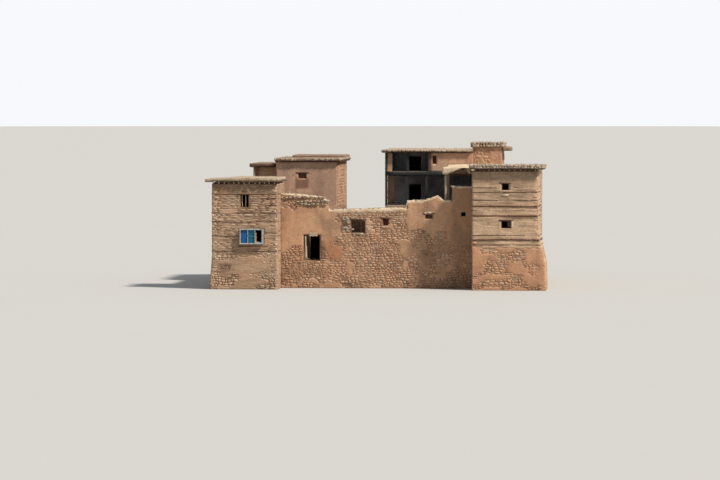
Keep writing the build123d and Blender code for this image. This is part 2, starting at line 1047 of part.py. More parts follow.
# Right range: courtyard wall with posts, under a thick roof whose front corner has fallen in
range_doorway_y = (curtain_back + rr_front) / 2
with BuildPart() as range_wall:
    with BuildSketch(facing_side(range_left)):
        patch(curtain_back, rr_front, 0, range_wall_top)
        patch(
            range_doorway_y,
            range_doorway_y + doorway_width,
            yard_level,
            yard_level + doorway_height,
            Mode.SUBTRACT,
        )
    extrude(amount=house_wall)
keep(range_wall, "range_wall")

range_pitch = (rr_front - curtain_back - 2 * post_across) / range_post_count
range_post_left = range_left + range_post_inset
with BuildPart() as range_posts:
    with BuildSketch(level(range_wall_top)):
        for i in range(range_post_count):
            post_y = curtain_back + post_across + i * range_pitch
            patch(range_post_left, range_post_left + post_across, post_y, post_y + post_across)
    extrude(amount=range_roof_bottom - range_wall_top)
keep(range_posts, "range_posts")

range_roof_front = curtain_front + curtain_wall / 3
range_roof_side = rt_left - rt_inner_eave - edge_round
range_roof_top = range_roof_bottom + range_roof_thickness
break_left = range_left + range_break_from_edge
with BuildPart() as range_roof:
    with BuildSketch(level(range_roof_bottom)):
        Polygon(
            (range_left, range_roof_front),
            (rt_left, range_roof_front),
            (rt_left, rt_back),
            (side_right, rt_back),
            (side_right, rr_front),
            (range_left, rr_front),
            align=None,
        )
    extrude(amount=rt_wall_top - range_roof_bottom)
    with BuildSketch(level(rt_wall_top)):
        patch(range_left, range_roof_side, range_roof_front, rr_front)
    extrude(amount=range_roof_thickness - (rt_wall_top - range_roof_bottom))
    with BuildSketch(facing_front(range_roof_front)):
        Polygon(
            (break_left, range_roof_bottom),
            (rt_left, range_roof_bottom),
            (rt_left, range_roof_top),
            (break_left + range_break_width, range_roof_top),
            align=None,
        )
    extrude(amount=-range_break_depth, mode=Mode.SUBTRACT)
keep(range_roof, "range_roof")

# Enclosing walls: left side, right side and rear, each one mass of masonry with a stepped top
with BuildPart() as left_side_wall:
    with BuildSketch(facing_side(lt_left)):
        Polygon(
            (lt_back, 0),
            (rl_front, 0),
            (rl_front, side_wall_top),
            (lt_back, side_wall_top),
            align=None,
        )
        patch(rl_front + house_wall, rear_inner, 0, rl_parapet_top)
    extrude(amount=house_wall)
keep(left_side_wall, "left_side_wall")

slab("right_side_wall", side_right - house_wall, side_right, rt_back, rear_inner, 0, upper_floor_bottom)

rear_window_lefts = (
    rr_left + rear_window_from_edge,
    side_right - rear_window_from_edge - rear_window_width,
)
with BuildPart() as rear_wall:
    with BuildSketch(facing_front(rear_inner)):
        Polygon(
            (lt_left, 0),
            (side_right, 0),
            (side_right, upper_floor_top),
            (high_left, upper_floor_top),
            (high_left, upper_wall_top),
            (rr_left, upper_wall_top),
            (rr_left, side_wall_top),
            (rl_room_right, side_wall_top),
            (rl_room_right, rl_wall_top),
            (rl_room_left, rl_wall_top),
            (rl_room_left, porch_roof_bottom),
            (porch_left, porch_roof_bottom),
            (porch_left, rl_parapet_top),
            (lt_left, rl_parapet_top),
            align=None,
        )
        patch(
            rl_window_left,
            rl_window_left + rl_window_width,
            rl_window_sill,
            rl_window_sill + rl_window_height,
            Mode.SUBTRACT,
        )
        for left in rear_window_lefts:
            patch(left, left + rear_window_width, rear_window_sill, rear_window_top, Mode.SUBTRACT)
    extrude(amount=-house_wall)
keep(rear_wall, "rear_wall")
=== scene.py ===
import json
import math

import bpy
import numpy as np
from bpy.props import FloatProperty, FloatVectorProperty, IntProperty, PointerProperty
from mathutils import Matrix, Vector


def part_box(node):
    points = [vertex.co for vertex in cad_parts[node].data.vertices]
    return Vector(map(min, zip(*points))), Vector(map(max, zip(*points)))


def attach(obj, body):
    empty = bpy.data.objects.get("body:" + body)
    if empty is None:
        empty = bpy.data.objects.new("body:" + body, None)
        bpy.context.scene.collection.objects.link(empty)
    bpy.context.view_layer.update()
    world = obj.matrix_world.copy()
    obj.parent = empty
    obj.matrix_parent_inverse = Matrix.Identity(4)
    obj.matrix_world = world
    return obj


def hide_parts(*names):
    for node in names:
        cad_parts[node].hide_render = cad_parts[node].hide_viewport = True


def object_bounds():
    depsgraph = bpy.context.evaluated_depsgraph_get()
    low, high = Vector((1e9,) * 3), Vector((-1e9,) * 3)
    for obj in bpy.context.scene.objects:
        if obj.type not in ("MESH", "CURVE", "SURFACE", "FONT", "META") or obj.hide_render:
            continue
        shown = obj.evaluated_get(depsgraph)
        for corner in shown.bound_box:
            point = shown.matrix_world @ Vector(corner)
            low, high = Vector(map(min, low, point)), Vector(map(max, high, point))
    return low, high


# The looks of a fortified farmhouse: rubble stones laid in courses, timber lacing, mud plaster, eroded
# wall tops, earth roofs on round poles, a projecting window, a plank door, and the stage around them.
# Everything is in metres and stands where the frame's nodes stand.

bl_info = {
    "name": "Stone House",
    "version": (1, 0, 0),
    "blender": (4, 5, 0),
    "location": "3D View > Sidebar > Stone House",
    "description": "Stones, plaster, timber and earth roofs for a fortified farmhouse",
    "category": "Add Mesh",
}

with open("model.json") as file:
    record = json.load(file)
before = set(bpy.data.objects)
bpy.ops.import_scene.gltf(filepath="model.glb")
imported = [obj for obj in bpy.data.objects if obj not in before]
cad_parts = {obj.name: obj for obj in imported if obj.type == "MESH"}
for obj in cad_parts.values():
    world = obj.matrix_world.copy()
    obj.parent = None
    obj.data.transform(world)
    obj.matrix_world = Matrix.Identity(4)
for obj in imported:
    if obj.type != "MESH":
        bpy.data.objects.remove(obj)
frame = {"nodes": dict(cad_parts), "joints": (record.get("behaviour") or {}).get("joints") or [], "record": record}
cad_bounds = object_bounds()
LOW, HIGH = (np.array(corner) for corner in cad_bounds)

# Right, up and outward directions of a wall seen from outside, or of a roof seen from above
FACINGS = {
    "front": ((1, 0, 0), (0, 0, 1), (0, -1, 0)),
    "back": ((-1, 0, 0), (0, 0, 1), (0, 1, 0)),
    "left": ((0, -1, 0), (0, 0, 1), (-1, 0, 0)),
    "right": ((0, 1, 0), (0, 0, 1), (1, 0, 0)),
    "top": ((1, 0, 0), (0, 1, 0), (0, 0, 1)),
}
CORNERS = np.array(((-1, -1), (1, -1), (1, 1), (-1, 1), (0, 0)), float)
LEFT_TOWER, RIGHT_TOWER = (
    tuple(f"{side}_{part}_wall" for part in ("front", "left", "right", "back")) for side in ("lt", "rt")
)
CURTAIN = tuple(f"curtain_{part}" for part in (
    "left_wall", "over_door", "under_door", "middle_wall", "right_wall", "end_wall"
))

# Heights of the timber lacing
LACING_LEFT_TOWER = (3.07, 3.47, 4.31, 4.67, 5.43, 6.15, 6.79, 7.31, 7.65)
LACING_RIGHT_TOWER = (3.65, 4.05, 4.41, 5.97, 6.37, 6.73, 7.21, 7.85, 8.21)
LACING_CURTAIN = (5.87,)
HEAVY_LACING = (4.05, 5.97, 6.73)

# Kinds of stonework: course heights, stone lengths, lean, fall to the ends, and the steps of a stone's grid
FLAGS = ((0.06, 0.17), (0.35, 1.1), 0.010, 1.2, (-1, -0.75, 0, 0.75, 1))
RUBBLE = ((0.10, 0.24), (0.15, 0.50), 0.10, 0.25, (-1, -0.7, 0, 0.7, 1))
PLAIN = ((0.16, 0.32), (0.26, 0.66), 0.09, 0.25, (-1, -0.55, 0.55, 1))
TOWER = ((0.09, 0.20), (0.22, 0.70), 0.04, 0.5, (-1, -0.55, 0.55, 1))

NOISE_COLUMNS, NOISE_ROWS = 97, 89
SLIVER = 1e-5  # least area of a triangle that counts
REACH = 0.12  # how far off a face other solids still cover it
TOUCH = 0.004  # how far inside a face another solid's surface may lie and still cover it
POINTS_AT_ONCE = 4000
STONE_SEGMENTS, STONE_RINGS = 8, 4
HIDDEN_BY_SKIN, HIDDEN_BY_MORTAR = 0.16, 0.3  # cover from which a skin or the mortar hides a stone
LOST_STONES = 0.05  # share of the stones that are missing
SEAT_PASSES = 3
LOOSE_STONES = 240
STEP_LIMIT = 0.3  # largest difference of depth under one stone or one cell of plaster
LEAST_HALF = 0.035  # smallest half size of a stone
SKIN_SINK, SKIN_BACK = 0.02, 0.05  # how far inside the wall a skin's hidden front and its back lie
TRUNK_RADIUS, PIVOT_RADIUS = 0.085, 0.0145
PIVOT_LENGTH = 0.055  # how far a pivot stands out of the door's planks
DOOR_HEIGHTS, DOOR_HALF = (2.338, 4.172), 0.0225  # lower and upper end, and half the thickness
PLANK_WIDTHS = (0.235, 0.25, 0.22, 0.26, 0.235)
DOOR_REST = math.radians(76)  # how far the door stands open

# Length and height of a cell of plaster over flat stones, where it covers everything, and elsewhere
FLAG_CELLS, FULL_CELLS, SKIN_CELLS = (0.12, 0.05), (0.2, 0.2), (0.08, 0.08)

# Rows of larger stones near the curtain wall's broken top: their height and ends
TOP_ROWS = ((7.34, -6.7, -4.3), (7.02, -6.5, -4.0), (6.78, -6.2, -4.05), (7.3, -7.75, -7.0))

# The stage: the floor's corners, the way to the sun, the camera's target and film width, the picture's
# width in pixels, and the camera's focus and shift in such pixels
FLOOR_SIDES = 96
TO_SUN = (1.96, -1.0, 2.5)
VIEW_TARGET = (0.185, -10.21, 0.0)
FILM, PICTURE, FOCUS, SHIFT = 36.0, 720, 3750, (-17, 50)


def linear(*rgb):
    """Turns a screen colour, 0 to 255, into the linear values that materials take."""
    return tuple(((v / 255 + 0.055) / 1.055) ** 2.4 for v in rgb)


def colour(name, description, *rgb):
    """A colour property with its default given as a screen colour."""
    return FloatVectorProperty(
        name=name, description=description, subtype="COLOR", size=3, min=0, max=1, default=linear(*rgb)
    )


def length(name, description, default):
    """A length property in metres."""
    return FloatProperty(name=name, description=description, default=default, min=0, unit="LENGTH")


def turn(name, description, degrees):
    """An angle property with its default given in degrees."""
    return FloatProperty(name=name, description=description, default=math.radians(degrees), subtype="ANGLE")


def random_source(seed):
    """Seeded random numbers, so that each run gives the same house."""
    return np.random.default_rng(seed)


def uniform_columns(rng, count, *ranges):
    """Columns of random numbers, each within its range, or all the same where a single number is given."""
    columns = [rng.uniform(*r, count) if isinstance(r, tuple) else np.full(count, r) for r in ranges]
    return np.column_stack(columns)


def flat_grid(p, q):
    """Two flat arrays with every pair of one number from p and one from q, p changing most slowly."""
    return (values.ravel() for values in np.meshgrid(p, q, indexing="ij"))


# Shapes


def value_noise(p, q, size, seed):
    """Smooth heights from 0 to 1: random values on a square lattice, blended between neighbours by an
    S-curve."""
    table = random_source(seed).random((NOISE_COLUMNS, NOISE_ROWS))
    a, b = np.asarray(p, float) / size, np.asarray(q, float) / size
    i, j = np.floor(a).astype(int), np.floor(b).astype(int)
    s, t = a - i, b - j
    s, t = s * s * (3 - 2 * s), t * t * (3 - 2 * t)
    i0, i1, j0, j1 = i % NOISE_COLUMNS, (i + 1) % NOISE_COLUMNS, j % NOISE_ROWS, (j + 1) % NOISE_ROWS
    near = table[i0, j0] * (1 - s) + table[i1, j0] * s
    far = table[i0, j1] * (1 - s) + table[i1, j1] * s
    return near * (1 - t) + far * t


def rough(p, q, size, seed, layers=4):
    """Layered noise from -1 to 1: each layer of value noise has half the size and strength of the last."""
    strengths = [0.5**k for k in range(layers)]
    total = sum(s * value_noise(p, q, size * s, seed + k) for k, s in enumerate(strengths))
    return 2 * total / sum(strengths) - 1


def smooth_step(x, low, high):
    """0 below low, 1 above high, and an S-curve between them."""
    t = np.clip((x - low) / (high - low), 0, 1)
    return t * t * (3 - 2 * t)


def new_piece(name, batch, material, slot, body="house", smooth=True, **more):
    """Makes a mesh from a batch, which is vertex places, arrays of faces of one size each, and values for
    each vertex, kept inside the CAD box."""
    places, face_sets, values = batch
    mesh = bpy.data.meshes.new(name)
    corners = np.concatenate([faces.ravel() for faces in face_sets])
    sizes = np.concatenate([np.full(len(faces), faces.shape[1]) for faces in face_sets])
    mesh.vertices.add(len(places))
    mesh.vertices.foreach_set("co", np.clip(places, LOW, HIGH).astype(np.float32).ravel())
    mesh.loops.add(len(corners))
    mesh.loops.foreach_set("vertex_index", corners.astype(np.int32))
    mesh.polygons.add(len(sizes))
    mesh.polygons.foreach_set("loop_start", np.concatenate(([0], np.cumsum(sizes)[:-1])).astype(np.int32))
    mesh.polygons.foreach_set("use_smooth", np.full(len(sizes), smooth))
    mesh.update(calc_edges=True)
    for key, value in {**more, **values}.items():
        layer = mesh.attributes.new(key, "FLOAT", "POINT")
        layer.data.foreach_set("value", np.asarray(value, np.float32).ravel())
    mesh.materials.append(bpy.data.materials[material])
    piece = bpy.data.objects.new(name, mesh)
    bpy.context.scene.collection.objects.link(piece)
    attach(piece, body)
    return piece


def join_batches(*batches):
    """Joins several batches into one."""
    places, sets, values, start = [], {}, {}, 0
    for batch_places, face_sets, batch_values in batches:
        places.append(batch_places)
        for faces in face_sets:
            sets.setdefault(faces.shape[1], []).append(faces + start)
        for key, value in batch_values.items():
            values.setdefault(key, []).append(np.asarray(value, float).ravel())
        start += len(batch_places)
    joined = {key: np.concatenate(parts) for key, parts in values.items()}
    return np.concatenate(places), [np.concatenate(parts) for parts in sets.values()], joined


def repeat_faces(pattern, copies, step):
    """The same faces for each copy of a shape, each copy's numbers raised by its place in the vertex
    array."""
    return (pattern[None] + (np.arange(copies) * step)[:, None, None]).reshape(-1, pattern.shape[1])


def grid_faces(columns, rows):
    """Four-sided faces of a grid whose vertex number is column times rows plus row."""
    i, j = flat_grid(np.arange(columns - 1), np.arange(rows - 1))
    first = i * rows + j
    return np.stack((first, first + rows, first + rows + 1, first + 1), 1)


def tube_faces(rings, sides):
    """Faces of a tube whose vertex number is ring times sides plus side: those round it, and its two
    ends."""
    ring, side = flat_grid(np.arange(rings - 1), np.arange(sides))
    near, far = ring * sides + side, ring * sides + (side + 1) % sides
    ends = np.stack((np.arange(sides)[::-1], np.arange(sides) + (rings - 1) * sides))
    return np.stack((near, far, far + sides, near + sides), 1), ends


def closed_sheet(front, back, faces, side_rows=1, bulge=None):
    """A closed skin: a front sheet, the same sheet turned over at the back, and rows of faces that join
    their edges, moved out by bulge(places, share) where it is given."""
    count = len(front)
    edges = np.concatenate([faces[:, [k, (k + 1) % 4]] for k in range(4)])
    keys = edges[:, 0] * count + edges[:, 1]
    rim = edges[~np.isin(keys, edges[:, 1] * count + edges[:, 0])]
    ends = np.unique(rim)
    lookup = np.full(count, -1)
    lookup[ends] = np.arange(len(ends))
    places, levels = [front], [rim]
    for row in range(1, side_rows):
        share = row / side_rows
        between = front[ends] * (1 - share) + back[ends] * share
        places.append(between if bulge is None else bulge(between, share))
        levels.append(lookup[rim] + count + (row - 1) * len(ends))
    start = count + (side_rows - 1) * len(ends)
    places.append(back)
    levels.append(rim + start)
    sides = [np.stack((a[:, 1], a[:, 0], b[:, 0], b[:, 1]), 1) for a, b in zip(levels[:-1], levels[1:])]
    every = [faces, faces[:, ::-1] + start, *sides]
    return np.concatenate(places), [np.concatenate(every)]


def rounded_blocks(centres, halves, turn, rng, squareness=0.45, wear=0.12):
    """Worn stones: superellipsoids with eight segments and four rings between two poles. Along ring angle a
    and segment angle b the radius is cos(a)**squareness, the place is its product with cos(b)**squareness
    and sin(b)**squareness, and each vertex is moved in or out at random."""
    rings = np.linspace(-np.pi / 2, np.pi / 2, STONE_RINGS + 2)[1:-1]
    segments = np.arange(STONE_SEGMENTS) * np.pi * 2 / STONE_SEGMENTS

    def power(v):
        return np.sign(v) * np.abs(v) ** squareness

    a, b = flat_grid(rings, segments)
    radius = power(np.cos(a))
    unit = np.stack((radius * power(np.cos(b)), radius * power(np.sin(b)), power(np.sin(a))), 1)
    unit = np.concatenate((unit, [[0, 0, -1.0], [0, 0, 1.0]]))
    count, step = len(centres), len(unit)
    shapes = unit[None] * (1 + wear * rng.uniform(-1, 1, (count, step, 1))) * halves[:, None]
    c, s = np.cos(turn)[:, None], np.sin(turn)[:, None]
    x, y = shapes[..., 0] * c - shapes[..., 1] * s, shapes[..., 0] * s + shapes[..., 1] * c
    places = np.stack((x, y, shapes[..., 2]), -1) + centres[:, None]
    turns = np.arange(STONE_SEGMENTS)
    after = (turns + 1) % STONE_SEGMENTS
    foot, head, last = step - 2 + 0 * turns, step - 1 + 0 * turns, (STONE_RINGS - 1) * STONE_SEGMENTS
    caps = [np.stack(corners, 1) for corners in ((after, turns, foot), (turns + last, after + last, head))]
    quads = tube_faces(STONE_RINGS, STONE_SEGMENTS)[0]
    faces = [repeat_faces(part, count, step) for part in (quads, np.concatenate(caps))]
    return places.reshape(-1, 3), faces, {"tint": np.repeat(rng.random(count), step)}


def round_bars(starts, ends, radii, rng, sides=8, rings=6, squareness=2.0, bend=0.0, knots=0.06, taper=0.0):
    """Poles, posts, boards and twigs: a closed profile carried along a slightly bent line. At angle a the
    profile's radius is (|cos a|**n + |sin a|**n)**(-1/n), round for n = 2 and squared for a larger n, times
    one plus random knots, and it shrinks along the line by the taper. The line bends by a half sine. A bar
    may have two half sizes: the first is its depth, from front to back on a level or upright bar, the
    second its width."""
    starts, ends = np.atleast_2d(starts).astype(float), np.atleast_2d(ends).astype(float)
    count, step = len(starts), rings * sides
    radii = np.asarray(radii, float)
    single = radii.ndim < 2 and radii.shape != (2,)
    radii = np.broadcast_to(radii[..., None] if single else radii, (count, 2))
    along = ends - starts
    lengths = np.linalg.norm(along, axis=1, keepdims=True)
    axis = along / lengths
    helper = np.where(np.abs(axis[:, 2:3]) > 0.9, [[1.0, 0, 0]], [[0, 0, 1.0]])
    side = np.cross(helper, axis)
    side /= np.linalg.norm(side, axis=1, keepdims=True)
    third = np.cross(axis, side)
    t = np.linspace(0, 1, rings)
    angle = (np.arange(sides) + 0.5) * 2 * np.pi / sides
    across, up = np.cos(angle), np.sin(angle)
    profile = (np.abs(across) ** squareness + np.abs(up) ** squareness) ** (-1 / squareness)
    lumps = 1 + knots * rng.uniform(-1, 1, (count, rings, sides))
    radius = profile * (1 - taper * t)[None, :, None] * lumps
    deep, wide = radii[:, 0, None, None] * radius, radii[:, 1, None, None] * radius
    sway, lift = (bend * radii[:, :1] * np.sin(np.pi * t) * rng.uniform(-1, 1, (count, 1)) for _ in range(2))
    line = starts[:, None] + along[:, None] * t[None, :, None]
    line = line + side[:, None] * sway[..., None] + third[:, None] * lift[..., None]
    places = (
        line[:, :, None]
        + side[:, None, None] * (deep * across)[..., None]
        + third[:, None, None] * (wide * up)[..., None]
    )
    faces = [repeat_faces(part, count, step) for part in tube_faces(rings, sides)]
    run = np.broadcast_to(t[None, :, None] * lengths[:, None], (count, rings, sides))
    return places.reshape(-1, 3), faces, {"tint": np.repeat(rng.random(count), step), "run": run.ravel()}


# Wall faces


def node_triangles(nodes):
    """Corner places of every triangle of some CAD nodes, as one array."""
    found = []
    for name in nodes:
        mesh = frame["nodes"][name].data
        mesh.calc_loop_triangles()
        corners = np.empty(len(mesh.loop_triangles) * 3, np.int32)
        mesh.loop_triangles.foreach_get("vertices", corners)
        places = np.empty(len(mesh.vertices) * 3, np.float32)
        mesh.vertices.foreach_get("co", places)
        found.append(places.reshape(-1, 3)[corners].reshape(-1, 3, 3))
    return np.concatenate(found).astype(float)


def seen_area(triangles):
    """Twice the area of each triangle as seen from outside, negative where it faces away."""
    ab, ac = triangles[:, 1] - triangles[:, 0], triangles[:, 2] - triangles[:, 0]
    return ab[:, 0] * ac[:, 1] - ab[:, 1] * ac[:, 0]


def depth_on(points, triangles):
    """Depth at which each point, seen along the face's outward direction, meets each triangle, or nan where
    it misses: the point's barycentric coordinates give a weighted mean of the corners' depths."""
    a, ab, ac = triangles[:, 0], triangles[:, 1] - triangles[:, 0], triangles[:, 2] - triangles[:, 0]
    area = seen_area(triangles)
    across, up = points[:, None, 0] - a[None, :, 0], points[:, None, 1] - a[None, :, 1]
    s = (across * ac[:, 1] - up * ac[:, 0]) / area
    t = (ab[:, 0] * up - ab[:, 1] * across) / area
    inside = (s >= -1e-6) & (t >= -1e-6) & (s + t <= 1 + 1e-6)
    return np.where(inside, a[:, 2] + s * ab[:, 2] + t * ac[:, 2], np.nan)


class Face:
    """One side of some CAD nodes as seen from outside: u runs to the right, v up and d outwards."""

    def __init__(self, facing, *nodes):
        self.axes = np.array(FACINGS[facing], float)
        own = node_triangles(nodes) @ self.axes.T
        self.own = own[seen_area(own) > SLIVER]
        low, high = self.own.reshape(-1, 3).min(0), self.own.reshape(-1, 3).max(0)
        self.u0, self.u1, self.v0, self.v1 = low[0], high[0], low[1], high[1]
        rest = node_triangles([name for name in frame["nodes"] if name not in nodes]) @ self.axes.T
        least, most = rest.min(1), rest.max(1)
        near = np.abs(seen_area(rest)) > SLIVER
        near &= (most[:, 2] > low[2] - 0.01) & (least[:, 2] < high[2] + REACH)
        near &= (most[:, 0] > self.u0) & (least[:, 0] < self.u1)
        near &= (most[:, 1] > self.v0) & (least[:, 1] < self.v1)
        self.rest = rest[near]

    def depth(self, points):
        """Depth of the outermost surface at each point, or nan where there is none or something stands on
        it."""
        found = np.full(len(points), np.nan)
        for start in range(0, len(points), POINTS_AT_ONCE):
            part = points[start : start + POINTS_AT_ONCE]
            hits = np.where(np.isnan(own := depth_on(part, self.own)), -np.inf, own).max(1)
            if len(self.rest):
                others = depth_on(part, self.rest)
                covered = (others > hits[:, None] - TOUCH) & (others < hits[:, None] + REACH)
                hits = np.where(covered.any(1), -np.inf, hits)
            found[start : start + POINTS_AT_ONCE] = hits
        return np.where(np.isinf(found), np.nan, found)

    def place(self, u, v, d):
        """Points of the frame from face coordinates."""
        return np.stack((u, v, d), -1) @ self.axes


def courses(face, rise, run, rng):
    """Beds of stones on a face: course heights add up from the foot, and stone lengths along each course.
    One stone in four or so gives way to two thin ones. Gives each stone's centre and half sizes."""
    rows, level = [], face.v0
    while level < face.v1 - 0.03:
        height = min(rng.uniform(*rise), face.v1 - level)
        lengths = rng.uniform(*run, int((face.u1 - face.u0) / run[0]) + 3)
        edges = np.clip(face.u0 - rng.uniform(0, run[0]) + np.cumsum(lengths) - lengths[0], face.u0, face.u1)
        widths = np.diff(edges)
        keep = widths > 0.07
        middles, widths = (edges[:-1] + widths / 2)[keep], widths[keep]
        full = np.full(len(widths), height / 2)
        row = np.stack((middles, level + full, widths / 2, full), 1)
        thin = (rng.random(len(row)) < 0.27) & (height > 0.11)
        share = rng.uniform(0.35, 0.65, (thin.sum(), 1))
        low, high = row[thin].copy(), row[thin].copy()
        low[:, 3:] = row[thin, 3:] * share
        high[:, 3:] = row[thin, 3:] * (1 - share)
        low[:, 1:2] = level + low[:, 3:]
        high[:, 1:2] = level + height - high[:, 3:]
        rows.append(np.concatenate((row[~thin], low, high)))
        level += height
    return np.concatenate(rows)


def warp(points, amount, seed):
    """Moves points of a wall by smooth noise in both directions, so that courses wander and stones lean."""
    u, v = points[..., 0], points[..., 1]
    shift = [rough(u, v, 0.8, seed + k, 2) + 0.5 * rough(u, v, 0.22, seed + k + 3, 2) for k in (0, 9)]
    return points + amount * np.stack(shift, -1)


def seat_stones(face, stones, lean, seed):
    """Keeps the stones whose corners and middle all meet the face, with the depths there, and halves the
    others across their longer side for the next pass, so that small stones fill the edges."""
    kept = []
    for _ in range(SEAT_PASSES):
        points = warp(stones[:, None, :2] + CORNERS * stones[:, None, 2:] * 0.94, lean, seed)
        depths = face.depth(points.reshape(-1, 2)).reshape(-1, 5)
        seated = ~np.isnan(depths).any(1)
        flat = np.where(seated, np.ptp(np.nan_to_num(depths), axis=1), 1) < STEP_LIMIT
        kept.append(np.concatenate((stones[flat], depths[flat][:, :4]), 1))
        rest = stones[~flat & ~np.isnan(depths).all(1)]
        wide = rest[:, 2] >= rest[:, 3]
        half = np.where(wide[:, None], rest[:, 2:] * (0.5, 1), rest[:, 2:] * (1, 0.5))
        step = np.where(wide[:, None], half * (1, 0), half * (0, 1))
        stones = np.concatenate([np.hstack((rest[:, :2] + sign * step, half)) for sign in (-1, 1)])
        stones = stones[stones[:, 2:].min(1) > LEAST_HALF]
    return np.concatenate(kept)


def stone_batch(face, stones, stand, joint, lean, fall, seed, rng, steps):
    """Closed stones with a domed face. For s and t from -1 to 1 the place on the wall is the stone's centre
    plus its half sizes times s and t, pulled in at the corners by a share of s*s*t*t, then warped; the
    height above the wall is the stand, times a dome of 1 - fall*s*s - 0.18*t*t and a random share, and the
    rim lies inside. Gives the batch and each vertex's place on the wall."""
    count, n = len(stones), len(steps)
    s, t = flat_grid(steps, steps)
    rim = np.maximum(np.abs(s), np.abs(t)) > 0.99
    pull = 1 - 0.16 * s * s * t * t
    half = np.maximum(stones[:, 2:4] - joint / 2, 0.02)
    spots = [
        stones[:, k, None] + half[:, k, None] * way * pull * (1 + 0.07 * rng.uniform(-1, 1, (count, n * n)))
        for k, way in enumerate((s, t))
    ]
    u, v = np.moveaxis(warp(np.stack(spots, -1), lean, seed), -1, 0)
    weights = np.stack([(1 + a * s) * (1 + b * t) / 4 for a, b in CORNERS[:4]])
    base = stones[:, 4:8] @ weights
    dome = np.where(rim, 0, 1 - fall * s * s - 0.18 * t * t)
    tilt = 1 + rng.uniform(-0.25, 0.25, (count, 1)) * s + rng.uniform(-0.3, 0.3, (count, 1)) * t
    proud = stand * rng.uniform(0.45, 1.25, (count, 1))
    height = proud * (dome * tilt + 0.12 * rng.uniform(-1, 1, (count, n * n)))
    d = base + np.where(rim, -0.02, height)
    ring = np.concatenate((
        np.arange(n) * n, (n - 1) * n + np.arange(1, n), np.arange(n - 2, -1, -1) * n + n - 1,
        np.arange(n - 2, 0, -1),
    ))
    faces = [repeat_faces(part, count, n * n) for part in (grid_faces(n, n), ring[::-1][None])]
    tint = np.repeat(rng.random(count), n * n)
    return (face.place(u, v, d).reshape(-1, 3), faces, {"tint": tint}), u.ravel(), v.ravel()


def skin_batch(face, cells, height):
    """A skin of mud over a face: a grid whose height above the wall is height(u, v). It is left out where
    the height is nowhere above zero, and its back lies inside the wall. Gives the batch and each vertex's
    place on the wall."""
    columns, rows = (
        max(2, int(round((high - low) / cell)) + 1)
        for low, high, cell in ((face.u0, face.u1, cells[0]), (face.v0, face.v1, cells[1]))
    )
    u, v = flat_grid(np.linspace(face.u0 + 0.002, face.u1 - 0.002, columns),
                     np.linspace(face.v0 + 0.002, face.v1 - 0.002, rows))
    depth = face.depth(np.stack((u, v), 1))
    thick = np.maximum(height(u, v), -SKIN_SINK)
    faces = grid_faces(columns, rows)
    under = depth[faces]
    good = ~np.isnan(under).any(1) & (thick[faces].max(1) > 0) & (np.ptp(under, axis=1) < STEP_LIMIT)
    depth = np.nan_to_num(depth)
    front, back = (face.place(u, v, depth + out) for out in (thick, -SKIN_BACK))
    places, sets = closed_sheet(front, back, faces[good])
    used = np.unique(sets[0])
    lookup = np.full(len(places), -1)
    lookup[used] = np.arange(len(used))
    places = places[used]
    u, v, _ = (places @ face.axes.T).T
    return (places, [lookup[sets[0]]], {}), u, v


# Materials

# Blush reddens; the soot-and-shade tint darkens both for soot and for painted shade
BLUSH_TINT, SOOT_AND_SHADE_TINT = (1.04, 0.8, 0.68), (0.3, 0.29, 0.3)
STREAK_TINT, DAMP_TINT = (0.55, 0.52, 0.5), (0.62, 0.56, 0.5)


def fill_inputs(tree, node, values):
    """Fills a node's inputs with values or with links from other sockets."""
    for key, value in dict(values).items():
        if isinstance(value, bpy.types.NodeSocket):
            tree.links.new(value, node.inputs[key])
        else:
            node.inputs[key].default_value = value
    return node


def put(tree, kind, values=(), **settings):
    """Adds a node, sets its properties and fills its inputs."""
    node = tree.nodes.new(kind)
    for key, value in settings.items():
        setattr(node, key, value)
    return fill_inputs(tree, node, values)


def mix(tree, factor, a, b, kind="MIX"):
    """Mixes two colours, given as values or as sockets."""
    a, b = ((*v, 1) if not isinstance(v, bpy.types.NodeSocket) and len(v) == 3 else v for v in (a, b))
    node = put(tree, "ShaderNodeMix", {0: factor, 6: a, 7: b}, data_type="RGBA", blend_type=kind)
    return node.outputs[2]


def math_node(tree, kind, *values, clamp=False):
    """A maths node on up to three values or sockets."""
    return put(tree, "ShaderNodeMath", dict(enumerate(values)), operation=kind, use_clamp=clamp).outputs[0]


def times(tree, a, b, clamp=False):
    """The product of two values or sockets."""
    return math_node(tree, "MULTIPLY", a, b, clamp=clamp)


def spread(tree, value, low, high, to_low=0.0, to_high=1.0):
    """Maps a range of values to another by an S-curve."""
    values = {"Value": value, "From Min": low, "From Max": high, "To Min": to_low, "To Max": to_high}
    return put(tree, "ShaderNodeMapRange", values, interpolation_type="SMOOTHSTEP").outputs["Result"]


def noise(tree, vector, scale, detail=6.0, roughness=0.6, distortion=0.0):
    """Fractal noise from 0 to 1."""
    values = {"Vector": vector, "Scale": scale, "Detail": detail, "Roughness": roughness}
    return put(tree, "ShaderNodeTexNoise", {**values, "Distortion": distortion}).outputs["Fac"]


def stretched(tree, vector, scale):
    """The vector stretched by a scale for each axis."""
    return put(tree, "ShaderNodeMapping", {"Vector": vector, "Scale": scale}).outputs["Vector"]


def scaled(tree, vector, size):
    """The vector times a value."""
    return put(tree, "ShaderNodeVectorMath", {0: vector, 3: size}, operation="SCALE").outputs[0]


